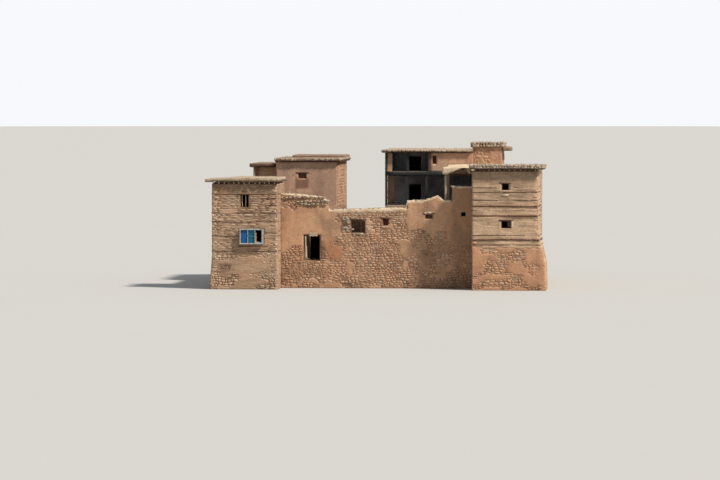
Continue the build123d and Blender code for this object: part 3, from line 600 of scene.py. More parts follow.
def new_group(name, outputs, **inputs):
    """Starts a node group that takes a vector and the named values, and gives it with its vector, its
    values and a function that links the results to its outputs."""
    group = bpy.data.node_groups.new(name, "ShaderNodeTree")
    add = group.interface.new_socket
    add("Vector", in_out="INPUT", socket_type="NodeSocketVector")
    for key, default in inputs.items():
        add(key.replace("_", " "), in_out="INPUT", socket_type="NodeSocketFloat").default_value = default
    for key in outputs:
        add(key, in_out="OUTPUT", socket_type="NodeSocketFloat")
    source, out = group.nodes.new("NodeGroupInput"), group.nodes.new("NodeGroupOutput")

    def finish(*results):
        fill_inputs(group, out, zip(outputs, results))

    return group, source.outputs["Vector"], source.outputs[1], finish


def make_earth_group():
    """Mud: broad patches, small grit with straw, and a height made of lumps and pebbles."""
    group, spot, size, finish = new_group("rough_earth", ("Patches", "Grit", "Height"), Size=1.0)
    spot = scaled(group, spot, size)
    patches = spread(group, noise(group, spot, 0.55, 7, 0.62, 0.3), 0.36, 0.64)
    grit = noise(group, spot, 22, 5, 0.7)
    lumps = noise(group, spot, 4.5, 9, 0.62)
    cells = put(group, "ShaderNodeTexVoronoi", {"Vector": spot, "Scale": 13.0}, feature="SMOOTH_F1")
    pebbles = times(group, spread(group, cells.outputs[0], 0.5, 0.1), 0.35)
    height = math_node(group, "ADD", math_node(group, "MULTIPLY_ADD", grit, 0.25, lumps), pebbles)
    finish(patches, grit, height)


def make_weather_group():
    """Weather: dust on what faces up, streaks where rain runs down, and damp dirt near the ground."""
    group, spot, damp_height, finish = new_group("weather", ("Dust", "Streaks", "Damp"), Damp_Height=1.2)
    normal = put(group, "ShaderNodeNewGeometry").outputs["Normal"]
    up = put(group, "ShaderNodeSeparateXYZ", {0: normal}).outputs["Z"]
    grain = noise(group, spot, 3.0, 5, 0.65)
    dust = times(group, spread(group, up, 0.15, 0.75), spread(group, grain, 0.3, 0.6), clamp=True)
    runs = noise(group, stretched(group, spot, (2.6, 2.6, 0.22)), 1.0, 6, 0.6, 0.2)
    streaks = spread(group, runs, 0.52, 0.72)
    height = put(group, "ShaderNodeSeparateXYZ", {0: spot}).outputs["Z"]
    edge = math_node(group, "MULTIPLY_ADD", grain, 1.4, math_node(group, "SUBTRACT", height, 0.7))
    damp = math_node(group, "SUBTRACT", 1.0, spread(group, edge, 0.0, damp_height), clamp=True)
    finish(dust, streaks, damp)


def make_grain_group():
    """Weathered wood: fibres along the vector's Z axis, dark splits between them, and their height."""
    group, spot, fineness, finish = new_group("wood_grain", ("Fibres", "Splits", "Height"), Fineness=1.0)
    fine = scaled(group, spot, fineness)
    fibres = noise(group, stretched(group, fine, (46, 46, 2.2)), 1.0, 6, 0.65, 0.15)
    broad = noise(group, stretched(group, fine, (14, 14, 0.8)), 1.0, 5, 0.6, 0.3)
    splits = spread(group, broad, 0.62, 0.70)
    height = math_node(group, "SUBTRACT", math_node(group, "MULTIPLY_ADD", fibres, 0.5, broad), splits)
    finish(fibres, splits, height)


def use_group(tree, name, **values):
    """Places a node group in a material with its own values, and gives its outputs."""
    node = tree.nodes.new("ShaderNodeGroup")
    node.node_tree = bpy.data.node_groups[name]
    return fill_inputs(tree, node, {key.replace("_", " "): value for key, value in values.items()}).outputs


def new_material(name):
    """An empty material: its tree and the object coordinates."""
    material = bpy.data.materials.new(name)
    material.use_nodes = True
    tree = material.node_tree
    tree.nodes.clear()
    return tree, put(tree, "ShaderNodeTexCoord").outputs["Object"]


def finish_material(tree, base, roughness, height, depth):
    """Ends a material in a Principled shader with a bump of the given depth in metres."""
    bump = put(tree, "ShaderNodeBump", {"Height": height, "Distance": depth, "Strength": 1.0})
    values = {"Base Color": base, "Roughness": roughness, "Normal": bump.outputs["Normal"]}
    shader = put(tree, "ShaderNodeBsdfPrincipled", {**values, "Specular IOR Level": 0.25})
    put(tree, "ShaderNodeOutputMaterial", {"Surface": shader.outputs[0]})


def shaded(tree, base, factor, tint):
    """Multiplies a colour by a tint where the factor is 1; a tint given as a number is grey."""
    return mix(tree, factor, base, tint if isinstance(tint, tuple) else (tint,) * 3, "MULTIPLY")


def own_value(tree, key):
    """A value that the mesh carries for each vertex."""
    return put(tree, "ShaderNodeAttribute", attribute_name=key).outputs["Fac"]


def toned(tree, base):
    """Darkens and reddens a colour by the piece's own soot-and-shade and blush values: the darkening is soot in
    some places and painted shade in others.
    """
    soot, blush = (own_value(tree, key) for key in ("soot", "blush"))
    return shaded(tree, shaded(tree, base, blush, BLUSH_TINT), soot, SOOT_AND_SHADE_TINT)


def earth_material(name, light, dark, dust, size=1.0, streak=0.35, damp=0.5, depth=0.03, beds=0, painted_pit_shade=0.45):
    """Mud, mortar, plaster or roof earth in two shades, with rain streaks, damp foot and dust on top, and
    with level beds where it is laid over flat stones."""
    tree, spot = new_material(name)
    earth = use_group(tree, "rough_earth", Vector=spot, Size=size)
    weather = use_group(tree, "weather", Vector=spot)
    base = mix(tree, earth["Patches"], dark, light)
    if beds:
        layer = noise(tree, stretched(tree, spot, (0.9, 0.9, 9.0)), 1.0, 5, 0.65, 0.4)
        base = shaded(tree, base, times(tree, spread(tree, layer, 0.56, 0.44), beds), STREAK_TINT)
    base = shaded(tree, base, spread(tree, earth["Grit"], 0.7, 0.35), 0.72)
    # Painted shade in the hollows between the lumps
    base = shaded(tree, base, times(tree, spread(tree, earth["Height"], 0.62, 0.42), painted_pit_shade), 0.5)
    base = shaded(tree, base, times(tree, weather["Streaks"], streak), STREAK_TINT)
    base = shaded(tree, base, times(tree, weather["Damp"], damp), DAMP_TINT)
    base = mix(tree, times(tree, weather["Dust"], 0.7), base, dust)
    finish_material(tree, toned(tree, base), 0.93, earth["Height"], depth)


def stone_material(name, shades, mud, wash=0.6):
    """Rubble stones: each takes one of the shades by its tint, with grit, a wash of mud and dust on top."""
    tree, spot = new_material(name)
    earth = use_group(tree, "rough_earth", Vector=spot, Size=1.6)
    weather = use_group(tree, "weather", Vector=spot)
    ramp = put(tree, "ShaderNodeValToRGB", {"Fac": own_value(tree, "tint")})
    stops = ramp.color_ramp.elements
    while len(stops) < len(shades):
        stops.new(0.5)
    for k, shade in enumerate(shades):
        stops[k].position = (k + 0.1) / len(shades)
        stops[k].color = (*shade, 1)
    base = shaded(tree, ramp.outputs["Color"], spread(tree, earth["Grit"], 0.65, 0.35), 0.7)
    base = mix(tree, spread(tree, earth["Patches"], 0.1, 0.9, 0.15, wash), base, mud)
    base = shaded(tree, base, times(tree, weather["Damp"], 0.3), DAMP_TINT)
    base = mix(tree, times(tree, weather["Dust"], 0.6), base, mud)
    finish_material(tree, toned(tree, base), 0.9, earth["Height"], 0.02)


def wood_material(name, light, dark, turn=(0, 0, 0), paint=None, worn=0.35, fineness=1.0):
    """Timber with its grain along Z after the given turn; a coat of paint is worn through along the
    fibres."""
    tree, spot = new_material(name)
    vector = put(tree, "ShaderNodeMapping", {"Vector": spot, "Rotation": turn}).outputs["Vector"]
    grain = use_group(tree, "wood_grain", Vector=vector, Fineness=fineness)
    weather = use_group(tree, "weather", Vector=spot, Damp_Height=0.1)
    base = mix(tree, spread(tree, grain["Fibres"], 0.3, 0.7), dark, light)
    if paint:
        bare = math_node(tree, "MULTIPLY_ADD", grain["Fibres"], 0.5, noise(tree, spot, 5.0, 7, 0.65))
        coat = spread(tree, bare, 0.62 + worn / 2, 0.52 + worn / 2)
        base = mix(tree, coat, base, shaded(tree, paint, noise(tree, spot, 8.0, 4, 0.6), 0.7))
    base = mix(tree, times(tree, grain["Splits"], 0.75), base, tuple(c * 0.25 for c in dark))
    base = mix(tree, times(tree, weather["Dust"], 0.35), base, linear(150, 130, 108))
    finish_material(tree, base, 0.8, grain["Height"], 0.006)


class HouseFinish(bpy.types.PropertyGroup):
    """Colours of the house."""

    tan_mud: colour("Tan mud", "Lit mud plaster of the right tower", 206, 174, 143)
    grey_mud: colour("Grey mud", "Mud mortar of the left tower", 183, 151, 123)
    orange_mud: colour("Orange mud", "Mud plaster of the curtain wall", 194, 152, 120)
    pale_mud: colour("Pale mud", "Washed mud on wall tops and roofs", 206, 186, 158)
    deep_mud: colour("Deep mud", "Damp and shaded mud", 128, 98, 76)
    rose_mud: colour("Rose mud", "Mud plaster of the rear blocks", 196, 158, 133)
    # Grey that stands for soot and paints the shade of the verandas: on their walls, and much darker on their
    # posts and beam
    soot: colour("Soot", "Smoked walls under the verandas", 108, 110, 111)
    brown_stone: colour("Brown stone", "Commonest rubble stone", 172, 141, 115)
    red_stone: colour("Red stone", "Reddish rubble stone", 178, 136, 110)
    grey_stone: colour("Grey stone", "Greyish rubble stone", 160, 146, 129)
    pale_stone: colour("Pale stone", "Pale rubble stone", 198, 177, 152)
    dark_stone: colour("Dark stone", "Dark rubble stone", 118, 96, 80)
    old_timber: colour("Old timber", "Weathered poles, posts and lacing", 118, 96, 78)
    lacing: colour("Lacing", "Reddish timber bedded in the walls", 112, 80, 62)
    dark_timber: colour("Dark timber", "Hollows of weathered timber", 58, 46, 38)
    window_paint: colour("Window paint", "Pale worn paint of the projecting window", 176, 180, 174)
    shutter_blue: colour("Shutter blue", "Blue paint of the shutter", 30, 92, 150)
    lattice_teal: colour("Lattice teal", "Teal paint of the lattice", 40, 118, 140)
    slot_red: colour("Slot red", "Red paint of the upper shutter", 104, 44, 34)
    door_paint: colour("Door paint", "Dull green-grey of the door's planks", 84, 88, 80)


# Settings that several finishes share
PLASTER = {"size": 0.8, "streak": 0.5, "damp": 0.2, "depth": 0.02}
CAP = {"size": 1.2, "streak": 0.2, "damp": 0.0}
ROOF = {"size": 1.1, "streak": 0.2, "damp": 0.0, "depth": 0.035, "painted_pit_shade": 0.2}
ACROSS, ALONG = {"turn": (0, math.pi / 2, 0)}, {"turn": (math.pi / 2, 0, 0)}

# A shade is the name of a colour and what it is multiplied by. Mud: light shade, dark shade, dust and
# settings
MUD = {
    "grey_mortar": ("grey_mud", 0.92, "deep_mud", 1.0, "pale_mud", 1.0, {}),
    "tan_mortar": ("tan_mud", 0.92, "deep_mud", 1.1, "pale_mud", 1.0, {}),
    "orange_mortar": ("orange_mud", 0.9, "deep_mud", 1.2, "pale_mud", 1.0, {}),
    "tan_plaster": ("tan_mud", 1.12, "tan_mud", 0.86, "pale_mud", 1.0,
                    {**PLASTER, "streak": 0.4, "damp": 0.1, "beds": 0.45}),
    "warm_plaster": ("orange_mud", 1.12, "orange_mud", 0.86, "pale_mud", 1.0,
                     {"size": 1.4, "streak": 0.4, "damp": 0.1}),
    "grey_plaster": ("grey_mud", 1.12, "grey_mud", 0.9, "pale_mud", 1.0,
                     {**PLASTER, "streak": 0.4, "beds": 0.45}),
    "orange_plaster": ("orange_mud", 1.12, "orange_mud", 0.85, "pale_mud", 1.0, {**PLASTER, "streak": 0.35}),
    "rose_plaster": ("rose_mud", 1.2, "rose_mud", 0.9, "pale_mud", 1.0, PLASTER),
    "pale_cap": ("pale_mud", 1.3, "tan_mud", 0.95, "pale_mud", 1.2, CAP),
    "range_cap": ("pale_mud", 1.12, "tan_mud", 0.85, "pale_mud", 1.0, CAP),
    "roof_earth": ("pale_mud", 0.72, "grey_mud", 0.7, "pale_mud", 0.66, ROOF),
    "brown_roof": ("red_stone", 0.75, "grey_mud", 0.5, "grey_stone", 0.75, ROOF),
    # Veranda walls in soot grey, darker than the other plaster: painted shade with some soot
    "sooty_plaster": ("soot", 1.7, "soot", 0.9, "soot", 1.0, PLASTER),
    "porch_daub": ("grey_mud", 1.2, "grey_mud", 0.7, "pale_mud", 1.0, PLASTER),
}
# Stone: the shades that its tint picks from, the mud washed over it, and how much of it
STONE = {
    "brown_rubble": ((("dark_stone", 1), ("brown_stone", 1), ("grey_stone", 1), ("brown_stone", 1),
                      ("pale_stone", 1)), ("grey_mud", 1.1), 0.6),
    "warm_rubble": ((("dark_stone", 1.3), ("red_stone", 0.93), ("brown_stone", 0.93), ("red_stone", 0.98),
                     ("pale_stone", 0.82)), ("orange_mud", 1.05), 0.6),
    "edge_stone": ((("dark_stone", 1), ("pale_stone", 1), ("grey_stone", 1), ("grey_stone", 1)),
                   ("grey_stone", 1.2), 0.4),
    "pale_slab": ((("pale_stone", 1), ("pale_stone", 1)), ("pale_mud", 1), 0.2),
}
# Wood: light shade, dark shade, settings and paint
WOOD = {
    "upright_timber": ("old_timber", 1.0, "dark_timber", 1.0, {}, None),
    "cross_timber": ("old_timber", 1.0, "dark_timber", 1.0, ACROSS, None),
    # Left tower's poles, lightened to paint sunlight on their ends under the eaves
    "pole_timber": ("old_timber", 1.7, "dark_timber", 1.3, ALONG, None),
    "lacing_timber": ("lacing", 1.0, "lacing", 0.4, ACROSS, None),
    "side_lacing_timber": ("lacing", 1.0, "lacing", 0.4, ALONG, None),
    "brush_twigs": ("old_timber", 1.25, "dark_timber", 1.3, {**ACROSS, "fineness": 3.0}, None),
    # Pale shades, partly the stakes' own colour and partly painted light on the loophole's stakes, which lie in
    # shade; also the door's lintel
    "pale_stakes": ("pale_stone", 1.1, "grey_stone", 0.8, {}, None),
    "porch_timber": ("pale_stone", 1.0, "grey_stone", 0.6, {}, None),
    "niche_timber": ("slot_red", 0.8, "slot_red", 0.3, {}, None),
    # Veranda posts and beam, nearly black: painted shade with some soot
    "sooty_posts": ("soot", 0.27, "soot", 0.12, {}, None),
    "sooty_beam": ("soot", 0.27, "soot", 0.12, ACROSS, None),
    "window_boards": ("old_timber", 1.5, "dark_timber", 1.6, {**ACROSS, "worn": 0.5}, "window_paint"),
    "shutter_boards": ("old_timber", 1.3, "dark_timber", 1.0, {"worn": 0.7}, "shutter_blue"),
    "lattice_bars": ("old_timber", 1.3, "dark_timber", 1.0, {"worn": 0.7}, "lattice_teal"),
    "red_boards": ("old_timber", 1.0, "dark_timber", 1.0, {"worn": 0.4}, "slot_red"),
    "door_planks": ("old_timber", 1.2, "dark_timber", 1.2, {"worn": 0.2}, "door_paint"),
}
# Finish of the CAD nodes by their slot, and of single nodes
SLOT_FINISH = {
    "rubble_masonry": "grey_mortar", "mud_plaster": "orange_plaster", "earth_roof": "roof_earth",
    "timber": "upright_timber", "pale_timber": "window_boards", "blue_paint": "shutter_boards",
    "teal_paint": "lattice_bars", "red_paint": "red_boards", "door_wood": "door_planks",
}
NODE_FINISH = {
    "gallery_back_wall": "sooty_plaster", "upper_back_wall": "sooty_plaster", "gallery_floor": "porch_daub",
    "upper_floor": "brown_roof", "veranda_posts": "sooty_posts", **dict.fromkeys(CURTAIN, "orange_mortar"),
    **dict.fromkeys(RIGHT_TOWER, "tan_mortar"),
}


class FINISH_OT_walls(bpy.types.Operator):
    """Makes the finishes and gives one to every CAD node"""

    bl_idname = "stone_house.finish_walls"
    bl_label = "Finish the walls"

    def execute(self, context):
        tone = context.scene.house_finish

        def shade(name, k=1.0):
            return tuple(min(1.0, c * k) for c in getattr(tone, name))

        for make in (make_earth_group, make_weather_group, make_grain_group):
            make()
        for name, (light, a, dark, b, dust, c, settings) in MUD.items():
            earth_material(name, shade(light, a), shade(dark, b), shade(dust, c), **settings)
        for name, (shades, mud, wash) in STONE.items():
            stone_material(name, [shade(*row) for row in shades], shade(*mud), wash)
        for name, (light, a, dark, b, settings, paint) in WOOD.items():
            wood_material(name, shade(light, a), shade(dark, b), paint=paint and shade(paint), **settings)
        for row in frame["record"]["subparts"]:
            mesh = frame["nodes"][row["node"]].data
            mesh.materials.clear()
            finish = NODE_FINISH.get(row["node"], SLOT_FINISH[row["material_slot"]])
            mesh.materials.append(bpy.data.materials[finish])
        return {"FINISHED"}


class StageLight(bpy.types.PropertyGroup):
    """Light, floor and camera."""

    sun_power: FloatProperty(name="Sun", description="Strength of the sun lamp", default=5.0, min=0)
    sky_power: FloatProperty(name="Sky", description="Strength of the sky's fill light", default=0.47, min=0)
    sun_spread: turn("Sun spread", "Angle that the soft sun covers", 6)
    floor_radius: length("Floor radius", "Radius of the round floor", 1500.0)
    floor_shade: colour("Floor", "Colour of the pale floor", 178, 176, 172)
    view_azimuth: turn("Azimuth", "Turn of the camera round the house", 5)
    view_elevation: turn("Elevation", "Height of the camera as an angle", 3)
    view_distance: length("Distance", "From the camera to the towers' front", 300.0)


class STAGE_OT_set(bpy.types.Operator):
    """Lays the floor and sets the lamps, the sky and the camera"""

    bl_idname = "stone_house.set_stage"
    bl_label = "Set the stage"

    def execute(self, context):
        scene, stage = context.scene, context.scene.stage_light
        scene.view_settings.view_transform = "Standard"

        def stand(name, data):
            thing = bpy.data.objects.new(name, data)
            scene.collection.objects.link(thing)
            return thing

        angles = np.linspace(0, 2 * np.pi, FLOOR_SIDES + 1)[:-1]
        disc = np.stack((np.cos(angles), np.sin(angles), 0 * angles), 1) * stage.floor_radius
        mesh = bpy.data.meshes.new("floor")
        mesh.from_pydata([tuple(p) for p in disc], [], [tuple(range(FLOOR_SIDES))])
        tree, spot = new_material("floor_finish")
        shade = tuple(stage.floor_shade)
        base = mix(tree, noise(tree, spot, 0.05, 3), shade, tuple(c * 0.97 for c in shade))
        shader = put(tree, "ShaderNodeBsdfPrincipled", {"Base Color": base, "Roughness": 0.95})
        put(tree, "ShaderNodeOutputMaterial", {"Surface": shader.outputs[0]})
        mesh.materials.append(bpy.data.materials["floor_finish"])
        floor = stand("floor", mesh)

        lamp = bpy.data.lights.new("sun", "SUN")
        lamp.energy, lamp.angle, lamp.color = stage.sun_power, stage.sun_spread, (1.0, 0.95, 0.88)
        sun = stand("sun", lamp)
        sun.rotation_mode = "QUATERNION"
        sun.rotation_quaternion = Vector(TO_SUN).to_track_quat("Z", "Y")
        scene.world = bpy.data.worlds.new("sky")
        scene.world.use_nodes = True
        sky = scene.world.node_tree
        sky.nodes.clear()
        fill = put(sky, "ShaderNodeBackground", {"Color": (0.86, 0.93, 1.0, 1), "Strength": stage.sky_power})
        pale = put(sky, "ShaderNodeBackground", {"Color": (0.93, 0.95, 0.97, 1), "Strength": 1.0})
        ray = put(sky, "ShaderNodeLightPath").outputs["Is Camera Ray"]
        seen = put(sky, "ShaderNodeMixShader", {0: ray, 1: fill.outputs[0], 2: pale.outputs[0]})
        put(sky, "ShaderNodeOutputWorld", {"Surface": seen.outputs[0]})

        azimuth, elevation = stage.view_azimuth, stage.view_elevation
        flat = math.cos(elevation)
        view = np.array((-math.sin(azimuth) * flat, math.cos(azimuth) * flat, -math.sin(elevation)))
        data = bpy.data.cameras.new("camera")
        data.sensor_width, data.lens = FILM, FILM * FOCUS / PICTURE
        data.clip_start, data.clip_end = 1.0, 4000.0
        data.shift_x, data.shift_y = (shift / PICTURE for shift in SHIFT)
        camera = stand("camera", data)
        camera.rotation_mode = "QUATERNION"
        camera.location = np.array(VIEW_TARGET) - view * stage.view_distance
        camera.rotation_quaternion = Vector(view).to_track_quat("-Z", "Y")
        scene.camera = camera
        return {"FINISHED"}


class StoneWork(bpy.types.PropertyGroup):
    """Sizes of the rubble, the plaster and the lacing."""

    stand: length("Stand", "How far a stone stands out of the wall", 0.034)
    joint: length("Joint", "Width of the mud joints", 0.014)
    skin: length("Plaster", "Thickness of the mud plaster", 0.04)
    lacing: length("Lacing", "Height of a lacing timber", 0.1)
    seed: IntProperty(name="Seed", description="Start of the random numbers", default=7)


def within(x, low, high, soft):
    """1 between two values and 0 outside, with soft ends."""
    return smooth_step(x, low - soft, low + soft) * (1 - smooth_step(x, high - soft, high + soft))


def zone(u, v, u0, u1, v0, v1, soft=0.25):
    """1 inside a rectangle of a wall and 0 outside, with soft and slightly wavy edges."""
    u, v = u + 0.25 * rough(u, v, 0.9, 11, 3), v + 0.25 * rough(u, v, 0.9, 12, 3)
    across, above = within(u, u0, u1, soft), smooth_step(v, v0 - soft, v0 + soft)
    return across * above * (1 - smooth_step(v, v1 - soft, v1 + soft))


def beds(u, v, seed, size=0.3):
    """Dark gaps between level beds of stone, 0 to 1: noise stretched along the wall, kept where it is
    low."""
    wave = v + 0.05 * rough(u, 0 * u, 2.2, seed + 7, 3)
    lines = smooth_step(-rough(u * 0.1, wave, size, seed, 3), 0.12, 0.36)
    return lines * (0.65 + 0.35 * rough(u, v, 0.7, seed + 9))


# Plaster covers a wall where these give more than about 0.1; each takes the places on the wall


def left_tower_cover(u, v):
    """Thin patches of mud over the flat stones and the foot."""
    return 0.8 * rough(u * 0.6, v * 1.6, 0.9, 31) - 0.12 * smooth_step(v, 2.4, 3.4) + 0.04


def right_tower_cover(u, v):
    """Nearly whole above, worn thin over the reddish foot."""
    return 0.8 * rough(u * 0.7, v * 1.5, 0.8, 41) + 0.65 * smooth_step(v, 3.0, 3.9) + 0.12


def curtain_cover(u, v):
    """The left part below its broken top, the raised part and small patches between."""
    left = zone(u, v, -9.0, -3.9, 3.5, 6.45, 0.5) + 0.22 * zone(u, v, -4.3, -3.0, 2.6, 6.3, 0.4)
    raised = zone(u, v, 2.35, 6.1, 4.75, 8.5)
    wedge = zone(u, v, 1.85, 2.6, 2.6, 3.9)
    end = zone(u, v, 6.0, 8.2, 3.6, 8.5)
    return 0.9 * rough(u, v * 1.2, 0.75, 51) + 1.05 * left + 1.1 * raised + 0.9 * wedge + 0.9 * end - 0.16


def house_cover(u, v):
    """Most of it still there."""
    return 0.8 * rough(u, v, 1.1, 61) + 0.2


def rear_left_cover(u, v):
    """Nearly whole above, with rubble showing lower down."""
    return 0.7 * rough(u, v, 1.0, 64) + 0.1 + 0.5 * smooth_step(v, 5.2, 6.8)


def full_cover(u, v):
    """Everywhere."""
    return 1.0 + 0 * u


def whole_cover(u, v):
    """Nearly all there."""
    return 0.6 * rough(u, v, 0.9, 66) + 0.55


def worn_cover(u, v):
    """Broad worn patches."""
    return 0.8 * rough(u, v, 1.5, 71) - 0.05


# Tones give darkening, from 0 to 1, which is soot in some places and painted shade in others, and blush, from 0 to
# 1, for the places on a wall


def left_tower_tone(u, v):
    """Painted shade under the eaves, partly stain, soot and painted shade beside the loophole, a painted shadow
    under the projecting window, painted shade in a hollow of missing stones low on the left, and a reddish corner.
    """
    soot = 0.55 * zone(u, v, -14, -7, 7.75, 9) + 0.5 * zone(u, v, -11.4, -10.1, 7.3, 8.0)
    soot = np.maximum(soot, 0.55 * beds(u, v, 33, 0.24) * smooth_step(v, 2.2, 3.2))
    # Painted shadow under the projecting window, and painted shade in a hollow of missing stones
    low = 0.3 * zone(u, v, -11.4, -9.2, 2.75, 3.5) + 0.6 * zone(u, v, -12.5, -11.7, 1.4, 2.1, 0.1)
    soot = np.maximum(soot, low)
    blush = zone(u, v, -12.9, -12.1, 7.7, 8.3) + 0.3 * smooth_step(rough(u, v, 1.2, 32), 0.0, 0.5)
    return soot, blush


def right_tower_tone(u, v):
    """Painted shade under the eaves, partly stain, painted shade with reddish mud along the heavy lacing, and a
    reddish foot.
    """
    # Painted shade under the eaves, partly stain
    soot = 0.5 * zone(u, v, 7, 14, 8.5, 10)
    soot = np.maximum(soot, 0.33 * beds(u, v, 43) * smooth_step(v, 3.2, 3.8))
    # Painted shade with reddish mud along the heavy lacing
    waves = 0.04 * rough(u, 0 * v, 0.5, 44)
    bands = sum(np.exp(-(((v - level - waves) / 0.11) ** 2)) for level in HEAVY_LACING)
    return np.maximum(soot, 0.3 * bands), 0.35 * (1 - smooth_step(v, 3.0, 3.8)) + 0.6 * bands


def curtain_tone(u, v):
    """Darker beside the door, painted shade left of the broken window and on the end by the right tower, and
    reddish stones round it and in the raised part.
    """
    patches = 0.33 * smooth_step(rough(u, v, 1.3, 52), 0.05, 0.5)
    # Darker beside the door, with random patches
    soot = 0.5 * zone(u, v, -4.75, -4.3, 2.5, 4.0, 0.12) + patches
    # Painted shade left of the broken window and on the end by the right tower
    soot = soot + 0.85 * zone(u, v, -2.95, -2.15, 4.6, 5.75, 0.12) + 0.3 * zone(u, v, 6.0, 8.2, -1, 9)
    blush = 0.7 * (zone(u, v, -6.6, -6.0, 2.2, 3.4) + zone(u, v, -4.2, -2.9, 2.4, 3.9))
    return soot, blush + 0.25 * smooth_step(rough(u, v, 1.4, 53), -0.1, 0.5)


def plain_tone(u, v):
    """Slight patches."""
    soot = 0.3 * smooth_step(rough(u, v, 1.6, 62), 0.1, 0.6)
    return soot, 0.4 * smooth_step(rough(u, v, 2.0, 63), 0.0, 0.5)


def rear_left_tone(u, v):
    """A reddish stain below the small window, and darker patches."""
    stain = zone(u, v, -7.7, -6.6, 7.75, 8.8, 0.15)
    warm = zone(u, v, -11, -7.9, 6.5, 8.2, 0.3)
    soot = 0.3 * smooth_step(rough(u, v, 1.5, 65), 0.0, 0.45) * smooth_step(u, -9.0, -8.4) * (1 - warm)
    return np.maximum(soot, 0.8 * stain), 0.5 * stain + 0.2 * warm


def upper_tone_with_painted_shade(u, v):
    """Painted shade on the end by the veranda."""
    soot, blush = plain_tone(u, v)
    return np.maximum(soot, 1 - smooth_step(u, 3.82, 3.95)), blush


def yard_tone_with_painted_shade(u, v):
    """Painted shade on the place opposite the slot of the curtain wall, which is seen through it."""
    soot, blush = plain_tone(u, v)
    return np.maximum(soot, zone(u, v, 2.9, 4.2, 4.9, 5.95, 0.12)), blush


def wall(name, facing, nodes, cover, stones, plaster=None, kind=PLAIN, tone=plain_tone, foot=-1, top=13):
    """One stretch of stonework: the side it faces, its CAD nodes, how plaster covers it, the stones'
    finish, the plaster's where it stands out as a skin, its kind of courses, its tones, and its lowest and
    highest place."""
    nodes = nodes if isinstance(nodes, tuple) else (nodes,)
    return name, facing, nodes, cover, stones, plaster, kind, tone, foot, top


BROWN, WARM = "brown_rubble", "warm_rubble"
STONE_SETS = (
    wall("left_tower_foot", "front", "lt_front_wall", left_tower_cover, BROWN, "grey_plaster", RUBBLE,
         left_tower_tone, top=2.75),
    wall("left_tower_front", "front", "lt_front_wall", left_tower_cover, BROWN, "grey_plaster", FLAGS,
         left_tower_tone, foot=2.75),
    wall("left_tower_right", "right", LEFT_TOWER, whole_cover, BROWN, "grey_plaster", FLAGS),
    wall("left_tower_left", "left", LEFT_TOWER, left_tower_cover, BROWN, kind=TOWER),
    wall("left_tower_back", "back", "lt_back_wall", left_tower_cover, BROWN, kind=TOWER),
    wall("right_tower_foot", "front", "rt_front_wall", right_tower_cover, WARM, "warm_plaster", RUBBLE,
         right_tower_tone, top=3.4),
    wall("right_tower_front", "front", "rt_front_wall", right_tower_cover, BROWN, "tan_plaster", FLAGS,
         right_tower_tone, foot=3.4),
    wall("right_tower_left", "left", RIGHT_TOWER, right_tower_cover, BROWN, "tan_plaster", FLAGS),
    wall("right_tower_right", "right", RIGHT_TOWER, right_tower_cover, WARM, "tan_plaster", TOWER),
    wall("right_tower_back", "back", "rt_back_wall", right_tower_cover, WARM, kind=TOWER),
    wall("curtain_front", "front", CURTAIN, curtain_cover, WARM, "orange_plaster", RUBBLE, curtain_tone),
    wall("curtain_back", "back", CURTAIN, worn_cover, WARM),
    wall("left_side_outer", "left", ("left_side_wall", "rl_front_wall", "rear_wall"), worn_cover, BROWN),
    wall("left_side_inner", "right", "left_side_wall", worn_cover, BROWN),
    wall("right_side_outer", "right", ("right_side_wall", "upper_right_wall", "rear_wall"), worn_cover,
         BROWN),
    wall("rear_outer", "back", "rear_wall", worn_cover, BROWN),
    wall("rear_left_front", "front", "rl_front_wall", rear_left_cover, WARM, "rose_plaster",
         tone=rear_left_tone),
    wall("rear_left_side", "right", ("rl_right_wall", "rl_front_wall", "rear_wall"), house_cover, WARM),
    wall("rear_left_room", "left", "rl_room_wall", house_cover, WARM),
    wall("porch_back", "front", "rear_wall", house_cover, WARM, foot=7.3),
    wall("porch_side", "left", "porch_side_wall", house_cover, WARM),
    wall("rear_right_front", "front", "veranda_wall", worn_cover, BROWN, tone=yard_tone_with_painted_shade),
    wall("rear_right_side", "left", ("rr_left_wall", "veranda_wall", "gallery_left_wall", "upper_left_wall"),
         worn_cover, BROWN, foot=0, top=12),
    wall("veranda_ends", "right", ("gallery_left_wall", "upper_left_wall"), full_cover, BROWN,
         "sooty_plaster"),
    wall("upper_front", "front", "upper_front_wall", whole_cover, WARM, "rose_plaster", tone=upper_tone_with_painted_shade),
    wall("high_room_front", "front", "high_room_walls", house_cover, WARM, "rose_plaster"),
    wall("high_room_right", "right", "high_room_walls", house_cover, WARM),
    wall("high_room_left", "left", "high_room_walls", worn_cover, WARM),
    wall("high_room_back", "back", "high_room_walls", house_cover, WARM),
    wall("range_yard_side", "left", "range_wall", worn_cover, BROWN),
)


